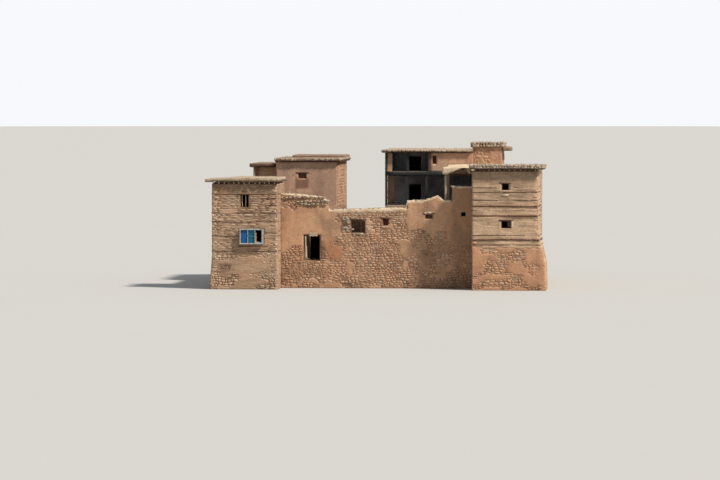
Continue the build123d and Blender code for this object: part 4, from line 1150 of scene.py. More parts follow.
class STONES_OT_lay(bpy.types.Operator):
    """Lays rubble stones in courses on every wall that shows, and skims mud plaster over part of them"""

    bl_idname = "stone_house.lay_stones"
    bl_label = "Lay the stones"

    def execute(self, context):
        work = context.scene.stone_work
        for index, row in enumerate(STONE_SETS):
            name, facing, nodes, cover, stones, plaster, kind, tone, foot, top = row
            rng = random_source(work.seed + index)
            rise, run, lean, fall, steps = kind
            face = Face(facing, *nodes)
            face.v0, face.v1 = max(face.v0, foot - 0.3), min(face.v1, top + 0.3)

            def inside(u, v):
                return within(v + 0.3 * rough(u, 0 * u, 1.3, 21, 4), foot, top, 0.03)

            def skin(u, v):
                level = smooth_step(cover(u, v), 0.0, 0.2) * 1.4 * inside(u, v) - 0.5
                level = level + 0.25 * rough(u, v, 0.5, 81 + index)
                if kind is FLAGS:
                    gaps = beds(u, v, 33 if name.startswith("left_tower") else 43)
                    level = level - 0.8 * (gaps + 0.5 * rough(u * 0.1, v, 0.14, 91 + index, 2))
                return work.skin * level

            seats = seat_stones(face, courses(face, rise, run, rng), lean, index * 20)
            bare = cover(seats[:, 0], seats[:, 1]) < (HIDDEN_BY_SKIN if plaster else HIDDEN_BY_MORTAR)
            bare &= (rng.random(len(seats)) > LOST_STONES) & (inside(seats[:, 0], seats[:, 1]) > 0.5)
            if bare.any():
                batch, u, v = stone_batch(
                    face, seats[bare], work.stand, work.joint, lean, fall, index * 20, rng, steps
                )
                soot, blush = tone(u, v)
                new_piece(f"{name}_stones", batch, stones, "rubble_masonry", soot=soot, blush=blush)
            if plaster:
                cells = FLAG_CELLS if kind is FLAGS else FULL_CELLS if cover is full_cover else SKIN_CELLS
                batch, u, v = skin_batch(face, cells, skin)
                soot, blush = tone(u, v)
                new_piece(f"{name}_plaster", batch, plaster, "mud_plaster", soot=soot, blush=blush)
        return {"FINISHED"}


def lacing_runs(face, level, rng, share):
    """Lengths of timber along one line of a wall, with gaps where mud or stones hide it: their ends and
    depth."""
    spots = np.arange(face.u0 + 0.02, face.u1, 0.04)
    spots = spots[~np.isnan(face.depth(np.column_stack((spots, np.full(len(spots), level)))))]
    edges = []
    for stretch in np.split(spots, np.flatnonzero(np.diff(spots) > 0.06) + 1):
        if len(stretch) < 5:
            continue
        u, last = stretch[0], stretch[-1]
        while u < last - 0.2:
            end = min(u + rng.uniform(1.2, 3.2), last)
            end = last if last - end < 0.6 else end
            if rng.random() < share:
                edges.append((u, end))
            u = end + rng.uniform(0.02, 0.12)
    if not edges:
        return []
    ends = np.array(edges)
    shares = np.array((0.01, 0.25, 0.5, 0.75, 0.99))
    points = np.stack(np.broadcast_arrays(ends[:, :1] + (ends[:, 1:] - ends[:, :1]) * shares, level), -1)
    depths = face.depth(points.reshape(-1, 2)).reshape(-1, 5)
    return [(a, b, d.min()) for (a, b), d in zip(edges, depths) if not np.isnan(d).any()]


class LACING_OT_set(bpy.types.Operator):
    """Beds squared timbers in the towers and the curtain wall"""

    bl_idname = "stone_house.set_lacing"
    bl_label = "Bed the timber lacing"

    def execute(self, context):
        half = context.scene.stone_work.lacing / 2
        around = ("front", "left", "right", "back")
        sets = (
            ("left_tower", LEFT_TOWER, around, LACING_LEFT_TOWER, 0.93, 1),
            ("right_tower", RIGHT_TOWER, around, LACING_RIGHT_TOWER, 0.97, 1),
            ("curtain", ("curtain_left_wall", "curtain_over_door"), ("front",), LACING_CURTAIN, 0.7, 0.6),
        )
        for number, (name, nodes, facings, levels, share, size) in enumerate(sets):
            for facing in facings:
                rng = random_source(200 + 10 * number + len(facing))
                face = Face(facing, *nodes)
                starts, ends, thick = [], [], []
                for level in levels:
                    for a, b, depth in lacing_runs(face, level, rng, share):
                        drop = rng.uniform(-0.03, 0.03)
                        thick.append(1.4 if level in HEAVY_LACING else 0.7)
                        starts.append(face.place(a, level + drop, depth + 0.015))
                        ends.append(face.place(b, level - drop, depth + 0.015))
                if starts:
                    radii = half * rng.uniform(0.75, 1.25, len(starts)) * size * thick
                    finish = "lacing_timber" if facing in ("front", "back") else "side_lacing_timber"
                    timbers = round_bars(
                        starts, ends, radii, rng, rings=14, squareness=4.0, bend=0.45, knots=0.2
                    )
                    new_piece(f"{name}_{facing}_lacing", timbers, finish, "timber")
        return {"FINISHED"}


class QUOINS_OT_lay(bpy.types.Operator):
    """Stacks larger stones at the towers' corners"""

    bl_idname = "stone_house.lay_quoins"
    bl_label = "Lay the corner stones"

    def execute(self, context):
        towers = (("left_tower", LEFT_TOWER, BROWN), ("right_tower", RIGHT_TOWER, WARM))
        for index, (name, nodes, finish) in enumerate(towers):
            rng = random_source(500 + index)
            batches = []
            for end, node, turn in (("front", nodes[0], 1), ("back", nodes[3], -1)):
                front, edge = Face(end, node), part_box(node)[0 if turn == 1 else 1][1]
                for flank, sign in (("right", 1), ("left", -1)):
                    side = Face(flank, *nodes)
                    heights = rng.uniform(0.13, 0.27, 80)
                    tops = np.cumsum(heights)
                    keep = tops < front.v1 - 0.02
                    heights, levels = heights[keep], (tops - heights / 2)[keep]
                    line = np.full(len(levels), (edge + 0.1 * turn) * sign)
                    x = sign * side.depth(np.column_stack((line, levels)))
                    y = -turn * front.depth(np.column_stack(((x - 0.1 * sign) * turn, levels)))
                    good = ~np.isnan(x + y)
                    x, y, levels, heights = x[good], y[good], levels[good], heights[good]
                    count = len(levels)
                    long = np.arange(count) % 2 == 0
                    halves = np.column_stack((
                        np.where(long, rng.uniform(0.17, 0.26, count), rng.uniform(0.10, 0.14, count)),
                        np.where(long, rng.uniform(0.10, 0.14, count), rng.uniform(0.17, 0.26, count)),
                        heights / 2 - 0.006,
                    ))
                    proud = rng.uniform(0.012, 0.035, count)
                    centres = np.column_stack((
                        x - sign * (halves[:, 0] - proud), y + turn * (halves[:, 1] - proud), levels
                    ))
                    lean = rng.uniform(-0.06, 0.06, count)
                    batches.append(rounded_blocks(centres, halves, lean, rng, squareness=0.3, wear=0.07))
            new_piece(f"{name}_corner_stones", join_batches(*batches), finish, "rubble_masonry")
        return {"FINISHED"}


class CAPS_OT_lay(bpy.types.Operator):
    """Lays the lumpy mud cap and the loose stones along the curtain wall's broken top"""

    bl_idname = "stone_house.cap_walls"
    bl_label = "Cap the curtain wall"

    def execute(self, context):
        rng = random_source(600)
        front_y, back_y = (corner[1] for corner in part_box("curtain_middle_wall"))
        left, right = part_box("curtain_left_wall")[0][0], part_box("curtain_end_wall")[1][0]
        x = np.arange(left + 0.03, right - 0.03, 0.07)
        top = Face("top", *CURTAIN).depth(np.column_stack((x, np.full(len(x), (front_y + back_y) / 2))))
        top = np.where(np.isnan(top), np.nanmin(top), top)
        # Across the wall: up the front, over the top and down the back, closed inside the wall
        out = np.array((0.0, 0.035, 0.045, 0.02, -0.1, -0.1, 0.02, 0.045, 0.035, 0.0, -0.12, -0.12))
        side = np.array((0, 0, 0, 0, 0, 1, 1, 1, 1, 1, 1, 0))
        rise = np.array((-1.0, -0.6, 0.0, 0.025, 0.045, 0.045, 0.025, 0.0, -0.6, -1.0, -0.9, -0.9))
        count = len(out)
        drape = 0.15 + 0.1 * rough(x, 0 * x, 0.45, 601)
        drape = drape + 0.17 * smooth_step(x, -4.2, -3.6) * (1 - smooth_step(x, 2.3, 3.0))
        u, k = flat_grid(np.arange(len(x)), np.arange(count))
        lump = rough(x[u], k * 0.15, 0.3, 602)
        reach = np.where(k < 10, 0.022 * lump, 0)
        base = np.where(side[k] == 0, front_y - out[k] - reach, back_y + out[k] + reach)
        level = top[u] + np.where(rise[k] < -0.5, rise[k] * drape[u], rise[k] + 0.03 * lump)
        places = np.stack((x[u], base, level), 1)
        quads, caps = tube_faces(len(x), count)
        new_piece("curtain_cap", (places, [quads[:, ::-1], caps[:, ::-1]], {}), "pale_cap", "mud_plaster")

        across = rng.uniform(x[0] + 0.1, x[-1] - 0.1, LOOSE_STONES)
        height = np.interp(across, x, top)
        halves = uniform_columns(rng, LOOSE_STONES, (0.05, 0.14), (0.05, 0.11), (0.03, 0.07))
        depth = rng.uniform(front_y + 0.02, back_y - 0.02, LOOSE_STONES)
        centres = np.column_stack((across, depth, height + 0.02 + halves[:, 2] * 0.4))
        turns = rng.uniform(0, 3, LOOSE_STONES)
        batches = [rounded_blocks(centres, halves, turns, rng, squareness=0.5, wear=0.15)]
        for level, *ends in TOP_ROWS:
            spots = np.arange(*ends, 0.34)
            count = len(spots)
            spots = spots + rng.uniform(-0.06, 0.06, count)
            halves = uniform_columns(rng, count, (0.11, 0.19), (0.10, 0.13), (0.035, 0.065))
            levels = level + rng.uniform(-0.04, 0.04, count)
            centres = np.column_stack((spots, np.full(count, front_y - 0.015), levels))
            turns = rng.uniform(-0.15, 0.15, count)
            batches.append(rounded_blocks(centres, halves, turns, rng, squareness=0.4, wear=0.12))
        new_piece("curtain_loose_stones", join_batches(*batches), "edge_stone", "rubble_masonry")
        return {"FINISHED"}


def earth_block(start, end, bottom, top, cell=0.14, sides=3, wear=0.05, seed=0):
    """A lumpy slab of earth between two corners seen from above, and between the heights bottom and top,
    each a number or a function of x and y: a grid whose upper sheet has layered noise and droops at its
    edges, a lower sheet, and side rows moved in and out by noise."""
    x, y = (start[0], end[0]), (start[1], end[1])
    columns, rows = (max(3, int(round((b - a) / cell)) + 1) for a, b in (x, y))
    u, v = flat_grid(np.linspace(*x, columns), np.linspace(*y, rows))
    bottom, top = (height(u, v) if callable(height) else height for height in (bottom, top))
    edge = np.minimum.reduce((u - x[0], x[1] - u, v - y[0], y[1] - v))
    inward = wear * (1 + rough(u * 1.3, v * 1.3, 0.5, seed + 5)) * smooth_step(-edge, -0.05, 0)
    middle = np.array(((x[0] + x[1]) / 2, (y[0] + y[1]) / 2))
    half = np.array(((x[1] - x[0]) / 2, (y[1] - y[0]) / 2))
    flat = middle + (np.stack((u, v), 1) - middle) * (1 - inward[:, None] / half)
    droop = 0.35 * wear * smooth_step(-edge, -0.2, 0) * (1.3 + rough(u, v, 0.6, seed))
    upper = top + wear * 0.8 * rough(u, v, 1.1, seed + 1, 5) - droop
    lower = bottom + wear * 0.25 * rough(u, v, 0.7, seed + 2)

    def bulge(places, share):
        away = (places[:, :2] - middle) / half
        lumps = rough(places[:, 0] + places[:, 1], places[:, 2] * 2 + share, 0.35, seed + 3)
        push = wear * (0.35 * math.sin(math.pi * share) + 0.9 * lumps)
        reach = np.abs(away) > 0.97
        return np.column_stack((places[:, :2] + np.sign(away) * reach * push[:, None], places[:, 2]))

    front, back = np.column_stack((flat, upper)), np.column_stack((flat, np.minimum(lower, upper - 0.03)))
    return *closed_sheet(front, back, grid_faces(columns, rows), sides, bulge), {}


def edge_stones(low, high, rows, size, rng, gap=0.1):
    """Rounded stones along the four edges of a roof, in rows from the lower height to the upper one."""
    batches = []
    for number in range(rows):
        z = low[2] + (high[2] - low[2]) * (number + 0.5) / rows
        for k, (a, b, fixed) in enumerate(((low[0], high[0], low[1]), (low[1], high[1], high[0]),
                                           (low[0], high[0], high[1]), (low[1], high[1], low[0]))):
            spots = np.cumsum(rng.uniform(size[0] * 1.6, size[1] * 2.1, int((b - a) / size[0]))) + a
            spots = spots[(spots < b - 0.1) & (spots > a + 0.1)]
            spots = spots[rng.random(len(spots)) > gap]
            count = len(spots)
            half = uniform_columns(rng, count, size, (size[0], size[1] * 0.8), (0.5, 1.0))
            half[:, 2] = np.minimum(half[:, 2] * (high[2] - low[2]) / rows / 1.7, size[1])
            inward = half[:, 1] - rng.uniform(0.0, 0.03, count)
            fixed = np.where(k in (0, 3), fixed + inward, fixed - inward)
            centre = np.column_stack((spots, fixed) if k in (0, 2) else (fixed, spots))
            turn = np.full(count, 0.0 if k in (0, 2) else np.pi / 2) + rng.uniform(-0.2, 0.2, count)
            centres = np.column_stack((centre, z + rng.uniform(-0.02, 0.02, count)))
            batches.append(rounded_blocks(centres, half, turn, rng, squareness=0.5, wear=0.14))
    return join_batches(*batches)


def brush_layer(low, high, z, rng, spacing=0.08, reach=0.45):
    """Twigs laid under a roof's earth, their ends ragged along the four eaves."""
    starts, ends = [], []
    for axis, outer, sign in ((0, low[1], 1), (1, high[0], -1), (0, high[1], -1), (1, low[0], 1)):
        spots = np.arange(low[axis] + 0.05, high[axis] - 0.05, spacing)
        count = len(spots)
        tip = rng.uniform(-0.0, 0.1, count)
        skew = rng.uniform(-0.25, 0.25, count)
        height = z + rng.uniform(-0.035, 0.035, count)
        for side, along, out in ((starts, spots, tip), (ends, spots + skew, tip + reach)):
            pair = (along, outer + sign * out)
            side.append(np.column_stack((*(pair if axis == 0 else pair[::-1]), height)))
    starts, ends = np.concatenate(starts), np.concatenate(ends)
    radii = rng.uniform(0.012, 0.024, len(starts))
    return round_bars(starts, ends, radii, rng, sides=5, rings=3, bend=0.6, knots=0.1, taper=0.4)


def eave_soot(places, name):
    """Soot on the eaves of the upper roof over the veranda and of the porch, and on the right tower's
    edge."""
    x, y = places[:, 0], places[:, 1] - places[:, 1].min()
    near = 1 - smooth_step(x + 0.3 * rough(x, y, 0.8, 77), 4.2, 4.8)
    near *= 1 - smooth_step(y + 1.2 * rough(x, y, 1.0, 78), 0.6, 3.6)
    share = {"upper": 0.3, "porch": 0.6}.get(name.split("_")[0], 0)
    return share * near + 0.1 * (name == "right_tower_edge")


class ROOFS_OT_lay(bpy.types.Operator):
    """Builds the earth roofs with their brush and edge stones"""

    bl_idname = "stone_house.lay_roofs"
    bl_label = "Lay the earth roofs"

    def execute(self, context):
        box = {name: [np.array(c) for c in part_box(name)] for name in frame["nodes"]}
        rng = random_source(300)

        def block(name, seed, wear=0.05, cell=0.14):
            low, high = box[name]
            return earth_block(low, high, low[2] + 0.08, high[2] - wear * 0.6, cell, wear=wear, seed=seed)

        def crown(x, y):
            low, high = box["lt_roof_earth"]
            heights = low[2] + 0.19, high[2] - 0.03, high[2] - 0.09
            return np.interp(x, (low[0], low[0] + 2.5, high[0]), heights)

        def broken(x, y):
            low = box["range_roof"][0]
            slope = low[2] + 0.6 * np.clip((x - low[0] - 0.38) / 1.5, 0, 1.2) * (
                1 - smooth_step(y + 0.25 * rough(x, y, 0.4, 391), low[1] + 3.4, low[1] + 3.8)
            ) * (1 - smooth_step(x, tower_left - 0.8, tower_left - 0.5) * smooth_step(
                y, tower_back - 0.4, tower_back - 0.1))
            return slope + 0.05 * rough(x, y, 0.2, 392)

        def lip(x, y):
            high = box["range_roof"][1]
            return high[2] - 0.04 + 0.14 * smooth_step(y, high[1] - 0.5, high[1] - 0.1)

        tower_left, tower_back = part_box("rt_left_wall")[0][0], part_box("rt_back_wall")[1][1]
        room_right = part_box("high_room_walls")[1][0]
        lt, rl, hr, rg = (box[name] for name in ("lt_roof_earth", "rl_roof", "high_room_roof", "range_roof"))
        slabs = (
            ("left_tower_roof", "lt_roof_earth", "roof_earth",
             earth_block(*lt, lt[0][2] + 0.07, crown, cell=0.12, sides=4, wear=0.09, seed=310)),
            ("right_tower_roof", "rt_roof_earth", "roof_earth",
             block("rt_roof_earth", 320, wear=0.07, cell=0.12)),
            ("porch_earth", "porch_roof", "brown_roof", block("porch_roof", 330)),
            ("upper_earth", "upper_roof", "roof_earth", block("upper_roof", 340)),
            ("rear_left_earth", "rl_roof", "brown_roof", join_batches(
                earth_block(*rl, rl[0][2] + 0.08, rl[0][2] + 0.31, wear=0.04, seed=350),
                earth_block((rl[0][0] + 1.0, rl[1][1] - 4.95), (rl[1][0] - 0.05, rl[1][1]), rl[0][2] + 0.25,
                            rl[1][2] - 0.03, seed=360))),
            ("high_room_earth", "high_room_roof", "brown_roof", join_batches(
                earth_block(hr[0], (room_right + 0.18, hr[1][1]), hr[0][2] + 0.28, hr[1][2] - 0.05, cell=0.1,
                            sides=4, wear=0.08, seed=370),
                earth_block((room_right - 0.02, hr[0][1]), hr[1], hr[0][2], hr[0][2] + 0.3, cell=0.12,
                            seed=380))),
            ("range_earth", "range_roof", "range_cap", join_batches(
                earth_block(rg[0], (tower_left - 0.29, rg[1][1]), broken, lip, cell=0.1, sides=4, wear=0.06,
                            seed=390),
                earth_block((tower_left - 0.4, tower_back), rg[1], rg[0][2], rg[0][2] + 0.29, cell=0.2,
                            sides=2, wear=0.03, seed=395))),
        )
        for name, node, finish, slab in slabs:
            piece = new_piece(name, slab, finish, "earth_roof", soot=eave_soot(slab[0], name))
            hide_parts(node)

        # Stones along the edges: what is added to the lowest and highest place, rows, sizes and share of
        # gaps
        for name, node, up, down, rows, size, gap in (
            ("right_tower_edge", "rt_roof_earth", 0.1, 0.02, 2, (0.07, 0.17), 0.06),
            ("left_tower_edge", "lt_roof_earth", 0.16, -0.2, 1, (0.05, 0.12), 0.3),
            ("high_room_edge", "high_room_roof", 0.3, 0.02, 2, (0.06, 0.14), 0.2),
            ("upper_edge", "upper_roof", 0.1, 0.0, 1, (0.05, 0.12), 0.2),
            ("rear_left_edge", "rl_roof", 0.1, -0.22, 1, (0.05, 0.12), 0.5),
        ):
            low, high = box[node][0] + (0, 0, up), box[node][1] + (0, 0, down)
            if node == "high_room_roof":
                high[0] = room_right + 0.18
            batch = edge_stones(low, high, rows, size, rng, gap)
            new_piece(name, batch, "edge_stone", "earth_roof", soot=eave_soot(batch[0], name))
        roofs = ("lt_roof_earth", "rt_roof_earth", "upper_roof", "rl_roof", "porch_roof", "high_room_roof")
        eaves = (box[node] for node in roofs)
        twigs = [brush_layer(low + 0.02, high - 0.02, low[2] + 0.03, rng) for low, high in eaves]
        new_piece("eave_brush", join_batches(*twigs), "brush_twigs", "earth_roof")
        return {"FINISHED"}


class POLES_OT_set(bpy.types.Operator):
    """Lays round roof poles and sets round posts where the frame has plain ones"""

    bl_idname = "stone_house.set_poles"
    bl_label = "Set the poles and posts"

    def execute(self, context):
        rng = random_source(400)
        for side, node, finish in (("left", "lt_roof_poles", "pole_timber"),
                                   ("right", "rt_roof_poles", "side_lacing_timber")):
            low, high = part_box(node)
            across = high[2] - low[2]
            count = int(round((high[0] - low[0] - across) / 0.42)) + 1
            x = np.linspace(low[0] + across / 2, high[0] - across / 2, count)
            z = np.full(count, (low[2] + high[2]) / 2)
            starts, ends = (
                np.column_stack((
                    x + rng.uniform(-0.05, 0.05, count), y + way * rng.uniform(0, most, count), z
                ))
                for y, way, most in ((low[1], 1, 0.05), (high[1], -1, 0.12))
            )
            radii = across / 2 * rng.uniform(0.78, 0.98, count)
            poles = round_bars(starts, ends, radii, rng, sides=12, rings=14, bend=0.3, knots=0.04, taper=0.1)
            piece = new_piece(f"{side}_tower_poles", poles, finish, "timber")
            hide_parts(node)
            # Mud packed between the poles on top of the four walls
            x0, x1, y0, y1 = low[0] + 0.12, high[0] - 0.12, low[1] + 0.58, high[1] - 0.52
            packing = [
                earth_block(start, end, low[2] - 0.03, high[2] + 0.1, cell=0.3, wear=0.02, seed=450)
                for start, end in (((x0, y0), (x1, y0 + 0.2)), ((x0, y1 - 0.2), (x1, y1)),
                                   ((x0, y0), (x0 + 0.2, y1)), ((x1 - 0.2, y0), (x1, y1)))
            ]
            new_piece(f"{side}_tower_packing", join_batches(*packing), "porch_daub", "mud_plaster")
        for name, node in (("porch_trunk", "porch_post"), ("range_trunks", "range_posts")):
            spots = np.unique(np.round(node_triangles([node]).reshape(-1, 3), 3), axis=0)
            starts, ends = [], []
            while len(spots):
                near = np.linalg.norm(spots[:, :2] - spots[0, :2], axis=1) < 0.35
                group, spots = spots[near], spots[~near]
                centre = (group[:, :2].min(0) + group[:, :2].max(0)) / 2
                starts.append((*centre, group[:, 2].min()))
                ends.append((*centre, group[:, 2].max()))
            trunks = round_bars(
                starts, ends, TRUNK_RADIUS, rng, sides=10, rings=9, squareness=2.4, bend=0.15, knots=0.08,
                taper=0.12,
            )
            piece = new_piece(name, trunks, "porch_timber", "timber")
            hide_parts(node)
        return {"FINISHED"}


def boards(rows, rng, knots=0.03, bend=0.0):
    """Boards and squared bars: each row gives the two ends, the half depth and the half width."""
    ends = np.array([[*row[0], *row[1]] for row in rows], float)
    sizes = np.array([row[2:4] for row in rows], float)
    return round_bars(
        ends[:, :3], ends[:, 3:], sizes, rng, sides=12, rings=7, squareness=8.0, bend=bend, knots=knots
    )


def upright(x, y, foot, head, deep, wide):
    """The row of an upright board."""
    return (x, y, foot), (x, y, head), deep, wide


def level_bar(x0, x1, y, z, deep, wide):
    """The row of a level bar along a front wall."""
    return (x0, y, z), (x1, y, z), deep, wide


class WINDOW_OT_fit(bpy.types.Operator):
    """Builds the projecting window box with its blue shutter and teal lattice"""

    bl_idname = "stone_house.fit_window"
    bl_label = "Fit the projecting window"

    def execute(self, context):
        rng = random_source(700)
        (x0, y0, z0), (x1, y1, z1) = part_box("lt_window_frame")
        bar, mullion = 0.09, 0.045
        foot, head = z0 + bar, z1 - bar
        light = (x1 - x0 - 2 * bar - 2 * mullion) / 3
        plank = light / 4
        left = [x0 + bar + i * (light + mullion) for i in range(3)]
        front = y0 + 0.03
        rows = [upright(x, front, z0, z1, 0.03, 0.044) for x in (x0 + 0.045, x1 - 0.045)]
        rows += [level_bar(x0, x1, y0 + 0.028, z, 0.028, 0.05) for z in (z0 + 0.05, z1 - 0.05)]
        rows += [upright(x - mullion / 2, front + 0.01, foot, head, 0.026, 0.024) for x in left[1:]]
        # Cheeks, top and bottom of the box, of boards that run from the frame into the wall
        for x in (x0 + 0.012, x1 - 0.012):
            for k in range(5):
                z = z0 + (k + 0.5) * (z1 - z0) / 5
                rows.append(((x, y0 + 0.05, z), (x, y1, z), 0.012, (z1 - z0) / 10 - 0.004))
        for z in (z0 + 0.012, z1 - 0.012):
            rows += [level_bar(x0, x1, y0 + (k + 0.5) * (y1 - y0) / 3, z, (y1 - y0) / 6 - 0.004, 0.012)
                     for k in range(3)]
        box = boards(rows, rng, 0.02)
        frame_piece = new_piece("window_box", box, "window_boards", "pale_timber", smooth=False)
        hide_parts("lt_window_frame")

        rows = [upright(left[0] + (k + 0.5) * plank, y0 + 0.105, foot, head, 0.012, plank / 2 - 0.003)
                for k in range(4)]
        rows += [level_bar(left[0] + 0.01, left[0] + light - 0.01, y0 + 0.088, z, 0.012, 0.035)
                 for z in (z0 + 0.25, z1 - 0.25)]
        shutter = new_piece("window_shutter_boards", boards(rows, rng, 0.02), "shutter_boards", "blue_paint",
                            smooth=False)
        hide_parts("lt_window_shutter")

        a, b = left[1], left[1] + light
        rows = [upright(a + k * light / 4, y0 + 0.1, foot, head, 0.014, 0.016) for k in range(5)]
        heights = np.linspace(foot + 0.02, head - 0.02, 8)
        rows += [level_bar(a, b, y0 + 0.112, z, 0.01, 0.016) for z in heights]
        rows.append(level_bar(a, b, y0 + 0.096, (z0 + z1) / 2, 0.018, 0.05))
        backing = [upright(a + (k + 0.5) * plank, y0 + 0.124, foot, head, 0.006, plank / 2 - 0.002)
                   for k in range(4)]
        batch = join_batches(boards(rows, rng, 0.02), boards(backing, rng, 0.02))
        lattice = new_piece("window_lattice_bars", batch, "lattice_bars", "teal_paint", smooth=False)
        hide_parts("lt_window_lattice")

        rows = [level_bar(left[2] + 0.03, left[2] + light - 0.02, y0 + 0.1, foot + 0.05, 0.012, 0.045),
                upright(left[2] + light - 0.03, y0 + 0.1, foot, head, 0.012, 0.028)]
        new_piece("window_inner_rail", boards(rows, rng, 0.02), "window_boards", "pale_timber", smooth=False)
        return {"FINISHED"}


class OPENINGS_OT_fit(bpy.types.Operator):
    """Fits lintels, posts, boards and stakes to the openings, and the veranda's beam and porch screen"""

    bl_idname = "stone_house.fit_openings"
    bl_label = "Fit the small openings"

    def execute(self, context):
        rng = random_source(800)
        tower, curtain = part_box("rt_front_wall")[0][1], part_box("curtain_middle_wall")[0][1]
        rear_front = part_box("rl_front_wall")[0][1]
        rows = []
        # Lintels: left and right ends, height and face of the wall
        for x0, x1, z, y in (
            (-11.05, -9.95, 7.65, tower), (9.98, 10.92, 8.59, tower), (9.95, 11.1, 5.61, tower),
            (-2.35, -0.85, 5.58, curtain), (0.25, 1.08, 5.70, curtain), (3.7, 4.65, 6.03, curtain),
            (-7.65, -6.55, 9.11, rear_front), (-6.75, -5.4, 4.1, rear_front),
        ):
            rows.append(((x0, y - 0.012, z), (x1, y - 0.012, z + rng.uniform(-0.02, 0.02)), 0.045, 0.05))
            rows.append(level_bar(x0 + 0.02, x1 - 0.02, y + 0.09, z, 0.05, 0.045))
        new_piece("lintels", boards(rows, rng, 0.06, 0.2), "lacing_timber", "timber")

        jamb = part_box("door_jambs")[0][0] + 0.09
        sill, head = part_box("door_sill")[1][2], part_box("door_head")[0][2]
        side_posts = [
            ((jamb + 0.06, curtain + 0.09, sill), (jamb + 0.05, curtain + 0.08, head), 0.07, 0.055),
            ((jamb + 0.15, curtain + 0.05, sill), (jamb + 0.1, curtain + 0.12, sill + 1.05), 0.03, 0.05),
        ]
        lintel = [((-5.56, curtain - 0.005, z), (-4.86, curtain - 0.005, z + 0.01), 0.035, 0.052)
                  for z in (4.24, 4.35, 4.46)]
        niche = [upright(x, curtain + 0.16, 5.09, 5.62, 0.015, 0.058) for x in np.linspace(0.49, 0.86, 4)]
        shutter = [upright(x, rear_front + 0.14, 8.65, 9.06, 0.015, 0.078)
                   for x in np.linspace(-7.35, -6.88, 4)]
        for name, rows, finish in (
            ("door_side_post", side_posts, "porch_timber"), ("door_lintel", lintel, "pale_stakes"),
            ("niche_boards", niche, "niche_timber"), ("rear_window_boards", shutter, "red_boards"),
        ):
            new_piece(name, boards(rows, rng, 0.05, 0.1), finish, "timber")

        # Beam along the edge of the veranda's upper floor, nearly black: painted shade with some soot
        low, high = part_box("upper_floor")
        end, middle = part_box("range_roof")[0][0], (low[2] + high[2]) / 2
        beam = level_bar(low[0], end, low[1] - 0.015, middle, 0.035, 0.17)
        new_piece("veranda_beam", boards([beam], rng, 0.06, 0.2), "sooty_beam", "timber")

        # Mud screen set back under the porch roof, between the side wall and the room
        side, room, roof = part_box("porch_side_wall"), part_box("rl_room_wall"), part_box("porch_roof")
        x, z = flat_grid(np.linspace(side[1][0] - 0.05, room[0][0] + 0.05, 24),
                         np.linspace(side[0][2] - 0.05, roof[0][2] + 0.05, 26))
        front = np.column_stack((x, side[0][1] + 0.3 + 0.04 * rough(x, z, 0.4, 801), z))
        screen = closed_sheet(front, front + (0, 0.16, 0), grid_faces(24, 26))
        new_piece("porch_screen", (*screen, {}), "porch_daub", "mud_plaster")

        low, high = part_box("lt_loophole_bars")
        rows = [upright(x, (low[1] + high[1]) / 2, low[2], high[2], 0.024, 0.03)
                for x in (low[0] + 0.0225, high[0] - 0.0225)]
        piece = new_piece("loophole_stakes", boards(rows, rng, 0.08, 0.3), "pale_stakes", "timber")
        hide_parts("lt_loophole_bars")

        # Pale board in the right tower's middle window, a pale stone sill under the upper one, and two pale
        # stones over the curtain wall's slot
        centres = ((11.0, tower - 0.005, 5.3), (10.42, tower - 0.005, 7.62), (4.17, curtain - 0.01, 6.12),
                   (3.9, curtain - 0.01, 6.09))
        halves = ((0.09, 0.05, 0.3), (0.3, 0.05, 0.07), (0.2, 0.06, 0.07), (0.12, 0.05, 0.06))
        centres, halves = np.array(centres), np.array(halves)
        slabs = rounded_blocks(centres, halves, np.zeros(len(centres)), rng, squareness=0.25, wear=0.05)
        new_piece("pale_slabs", slabs, "pale_slab", "rubble_masonry")

        # Rough stones round the broken window and to its left
        angle = np.linspace(0, 2 * np.pi, 31)[:-1] + rng.uniform(-0.07, 0.07, 30)
        x0, x1, z0, z1 = -2.135, -1.005, 4.47, 5.52
        centre = np.array(((x0 + x1) / 2, (z0 + z1) / 2))
        half = np.array(((x1 - x0) / 2 + 0.16, (z1 - z0) / 2 + 0.13))
        ring = np.column_stack((np.cos(angle), np.sin(angle)))
        ring = centre + ring / np.abs(ring).max(1, keepdims=True) * half + rng.uniform(-0.09, 0.09, (30, 2))
        ring = ring[rng.random(30) > 0.3]
        ring = np.concatenate((ring, rng.uniform((-2.85, 4.6), (-2.0, 5.75), (16, 2))))
        count = len(ring)
        centres = np.column_stack((ring[:, 0], np.full(count, curtain + 0.03), ring[:, 1]))
        halves = uniform_columns(rng, count, (0.06, 0.2), 0.09, (0.03, 0.1))
        stones = rounded_blocks(centres, halves, rng.uniform(-0.15, 0.15, count), rng, wear=0.15)
        new_piece("broken_window_stones", stones, "edge_stone", "rubble_masonry")
        return {"FINISHED"}


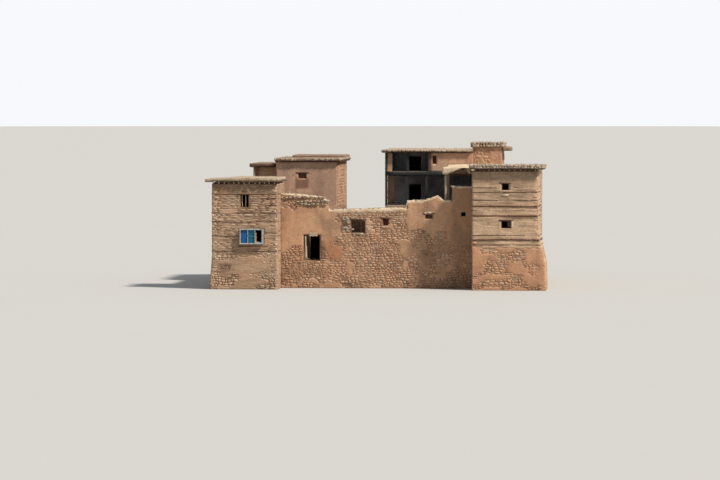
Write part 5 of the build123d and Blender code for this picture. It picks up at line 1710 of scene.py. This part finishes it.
class DOOR_OT_hang(bpy.types.Operator):
    """Builds the plank door and its pivots"""

    bl_idname = "stone_house.hang_door"
    bl_label = "Hang the door"

    def execute(self, context):
        rng = random_source(900)
        hinge = np.array(next(j["pos_m"] for j in frame["joints"] if j["child"] == "door"))
        foot, head = DOOR_HEIGHTS
        half, pin = DOOR_HALF, PIVOT_LENGTH
        edges = np.cumsum((0.0, *PLANK_WIDTHS))
        rows = [upright((a + b) / 2, 0, foot, head, half * 0.92, (b - a) / 2 - 0.003)
                for a, b in zip(edges[:-1], edges[1:])]
        rows += [level_bar(0.04, edges[-1] - 0.03, half + 0.014, z, 0.016, 0.055)
                 for z in (foot + 0.28, (foot + head) / 2, head - 0.28)]
        planks = boards(rows, rng, 0.015)
        starts, ends = ((0, 0, foot - pin), (0, 0, head)), ((0, 0, foot), (0, 0, head + pin))
        pivots = round_bars(starts, ends, PIVOT_RADIUS, rng, sides=10, rings=3, knots=0.0)
        places, sets, values = join_batches(planks, pivots)
        c, s = math.cos(DOOR_REST), math.sin(DOOR_REST)
        x, y, z = places.T
        turned = np.column_stack((x * c - y * s, x * s + y * c, z))
        turned[:, :2] += hinge[:2]
        leaf = new_piece("door_planking", (turned, sets, values), "door_planks", "door_wood", "door", False)
        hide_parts("door_leaf")
        return {"FINISHED"}


OPERATORS = (
    FINISH_OT_walls, STAGE_OT_set, STONES_OT_lay, LACING_OT_set, QUOINS_OT_lay, CAPS_OT_lay, ROOFS_OT_lay,
    POLES_OT_set, WINDOW_OT_fit, OPENINGS_OT_fit, DOOR_OT_hang,
)
GROUPS = {"house_finish": HouseFinish, "stone_work": StoneWork, "stage_light": StageLight}


class HOUSE_PT_panel(bpy.types.Panel):
    """Lists the steps and their settings in the sidebar"""

    bl_label = "Stone House"
    bl_idname = "HOUSE_PT_panel"
    bl_space_type = "VIEW_3D"
    bl_region_type = "UI"
    bl_category = "Stone House"

    def draw(self, context):
        for step in OPERATORS:
            self.layout.operator(step.bl_idname)
        for key in GROUPS:
            group = getattr(context.scene, key)
            for setting in group.__annotations__:
                self.layout.prop(group, setting)


def register():
    for item in (*GROUPS.values(), *OPERATORS, HOUSE_PT_panel):
        bpy.utils.register_class(item)
    for key, group in GROUPS.items():
        setattr(bpy.types.Scene, key, PointerProperty(type=group))


def unregister():
    for key in GROUPS:
        delattr(bpy.types.Scene, key)
    for item in (HOUSE_PT_panel, *reversed(OPERATORS), *GROUPS.values()):
        bpy.utils.unregister_class(item)


def main():
    register()
    for step in OPERATORS:
        getattr(bpy.ops.stone_house, step.bl_idname.split(".")[1])()


if __name__ == "__main__":
    main()
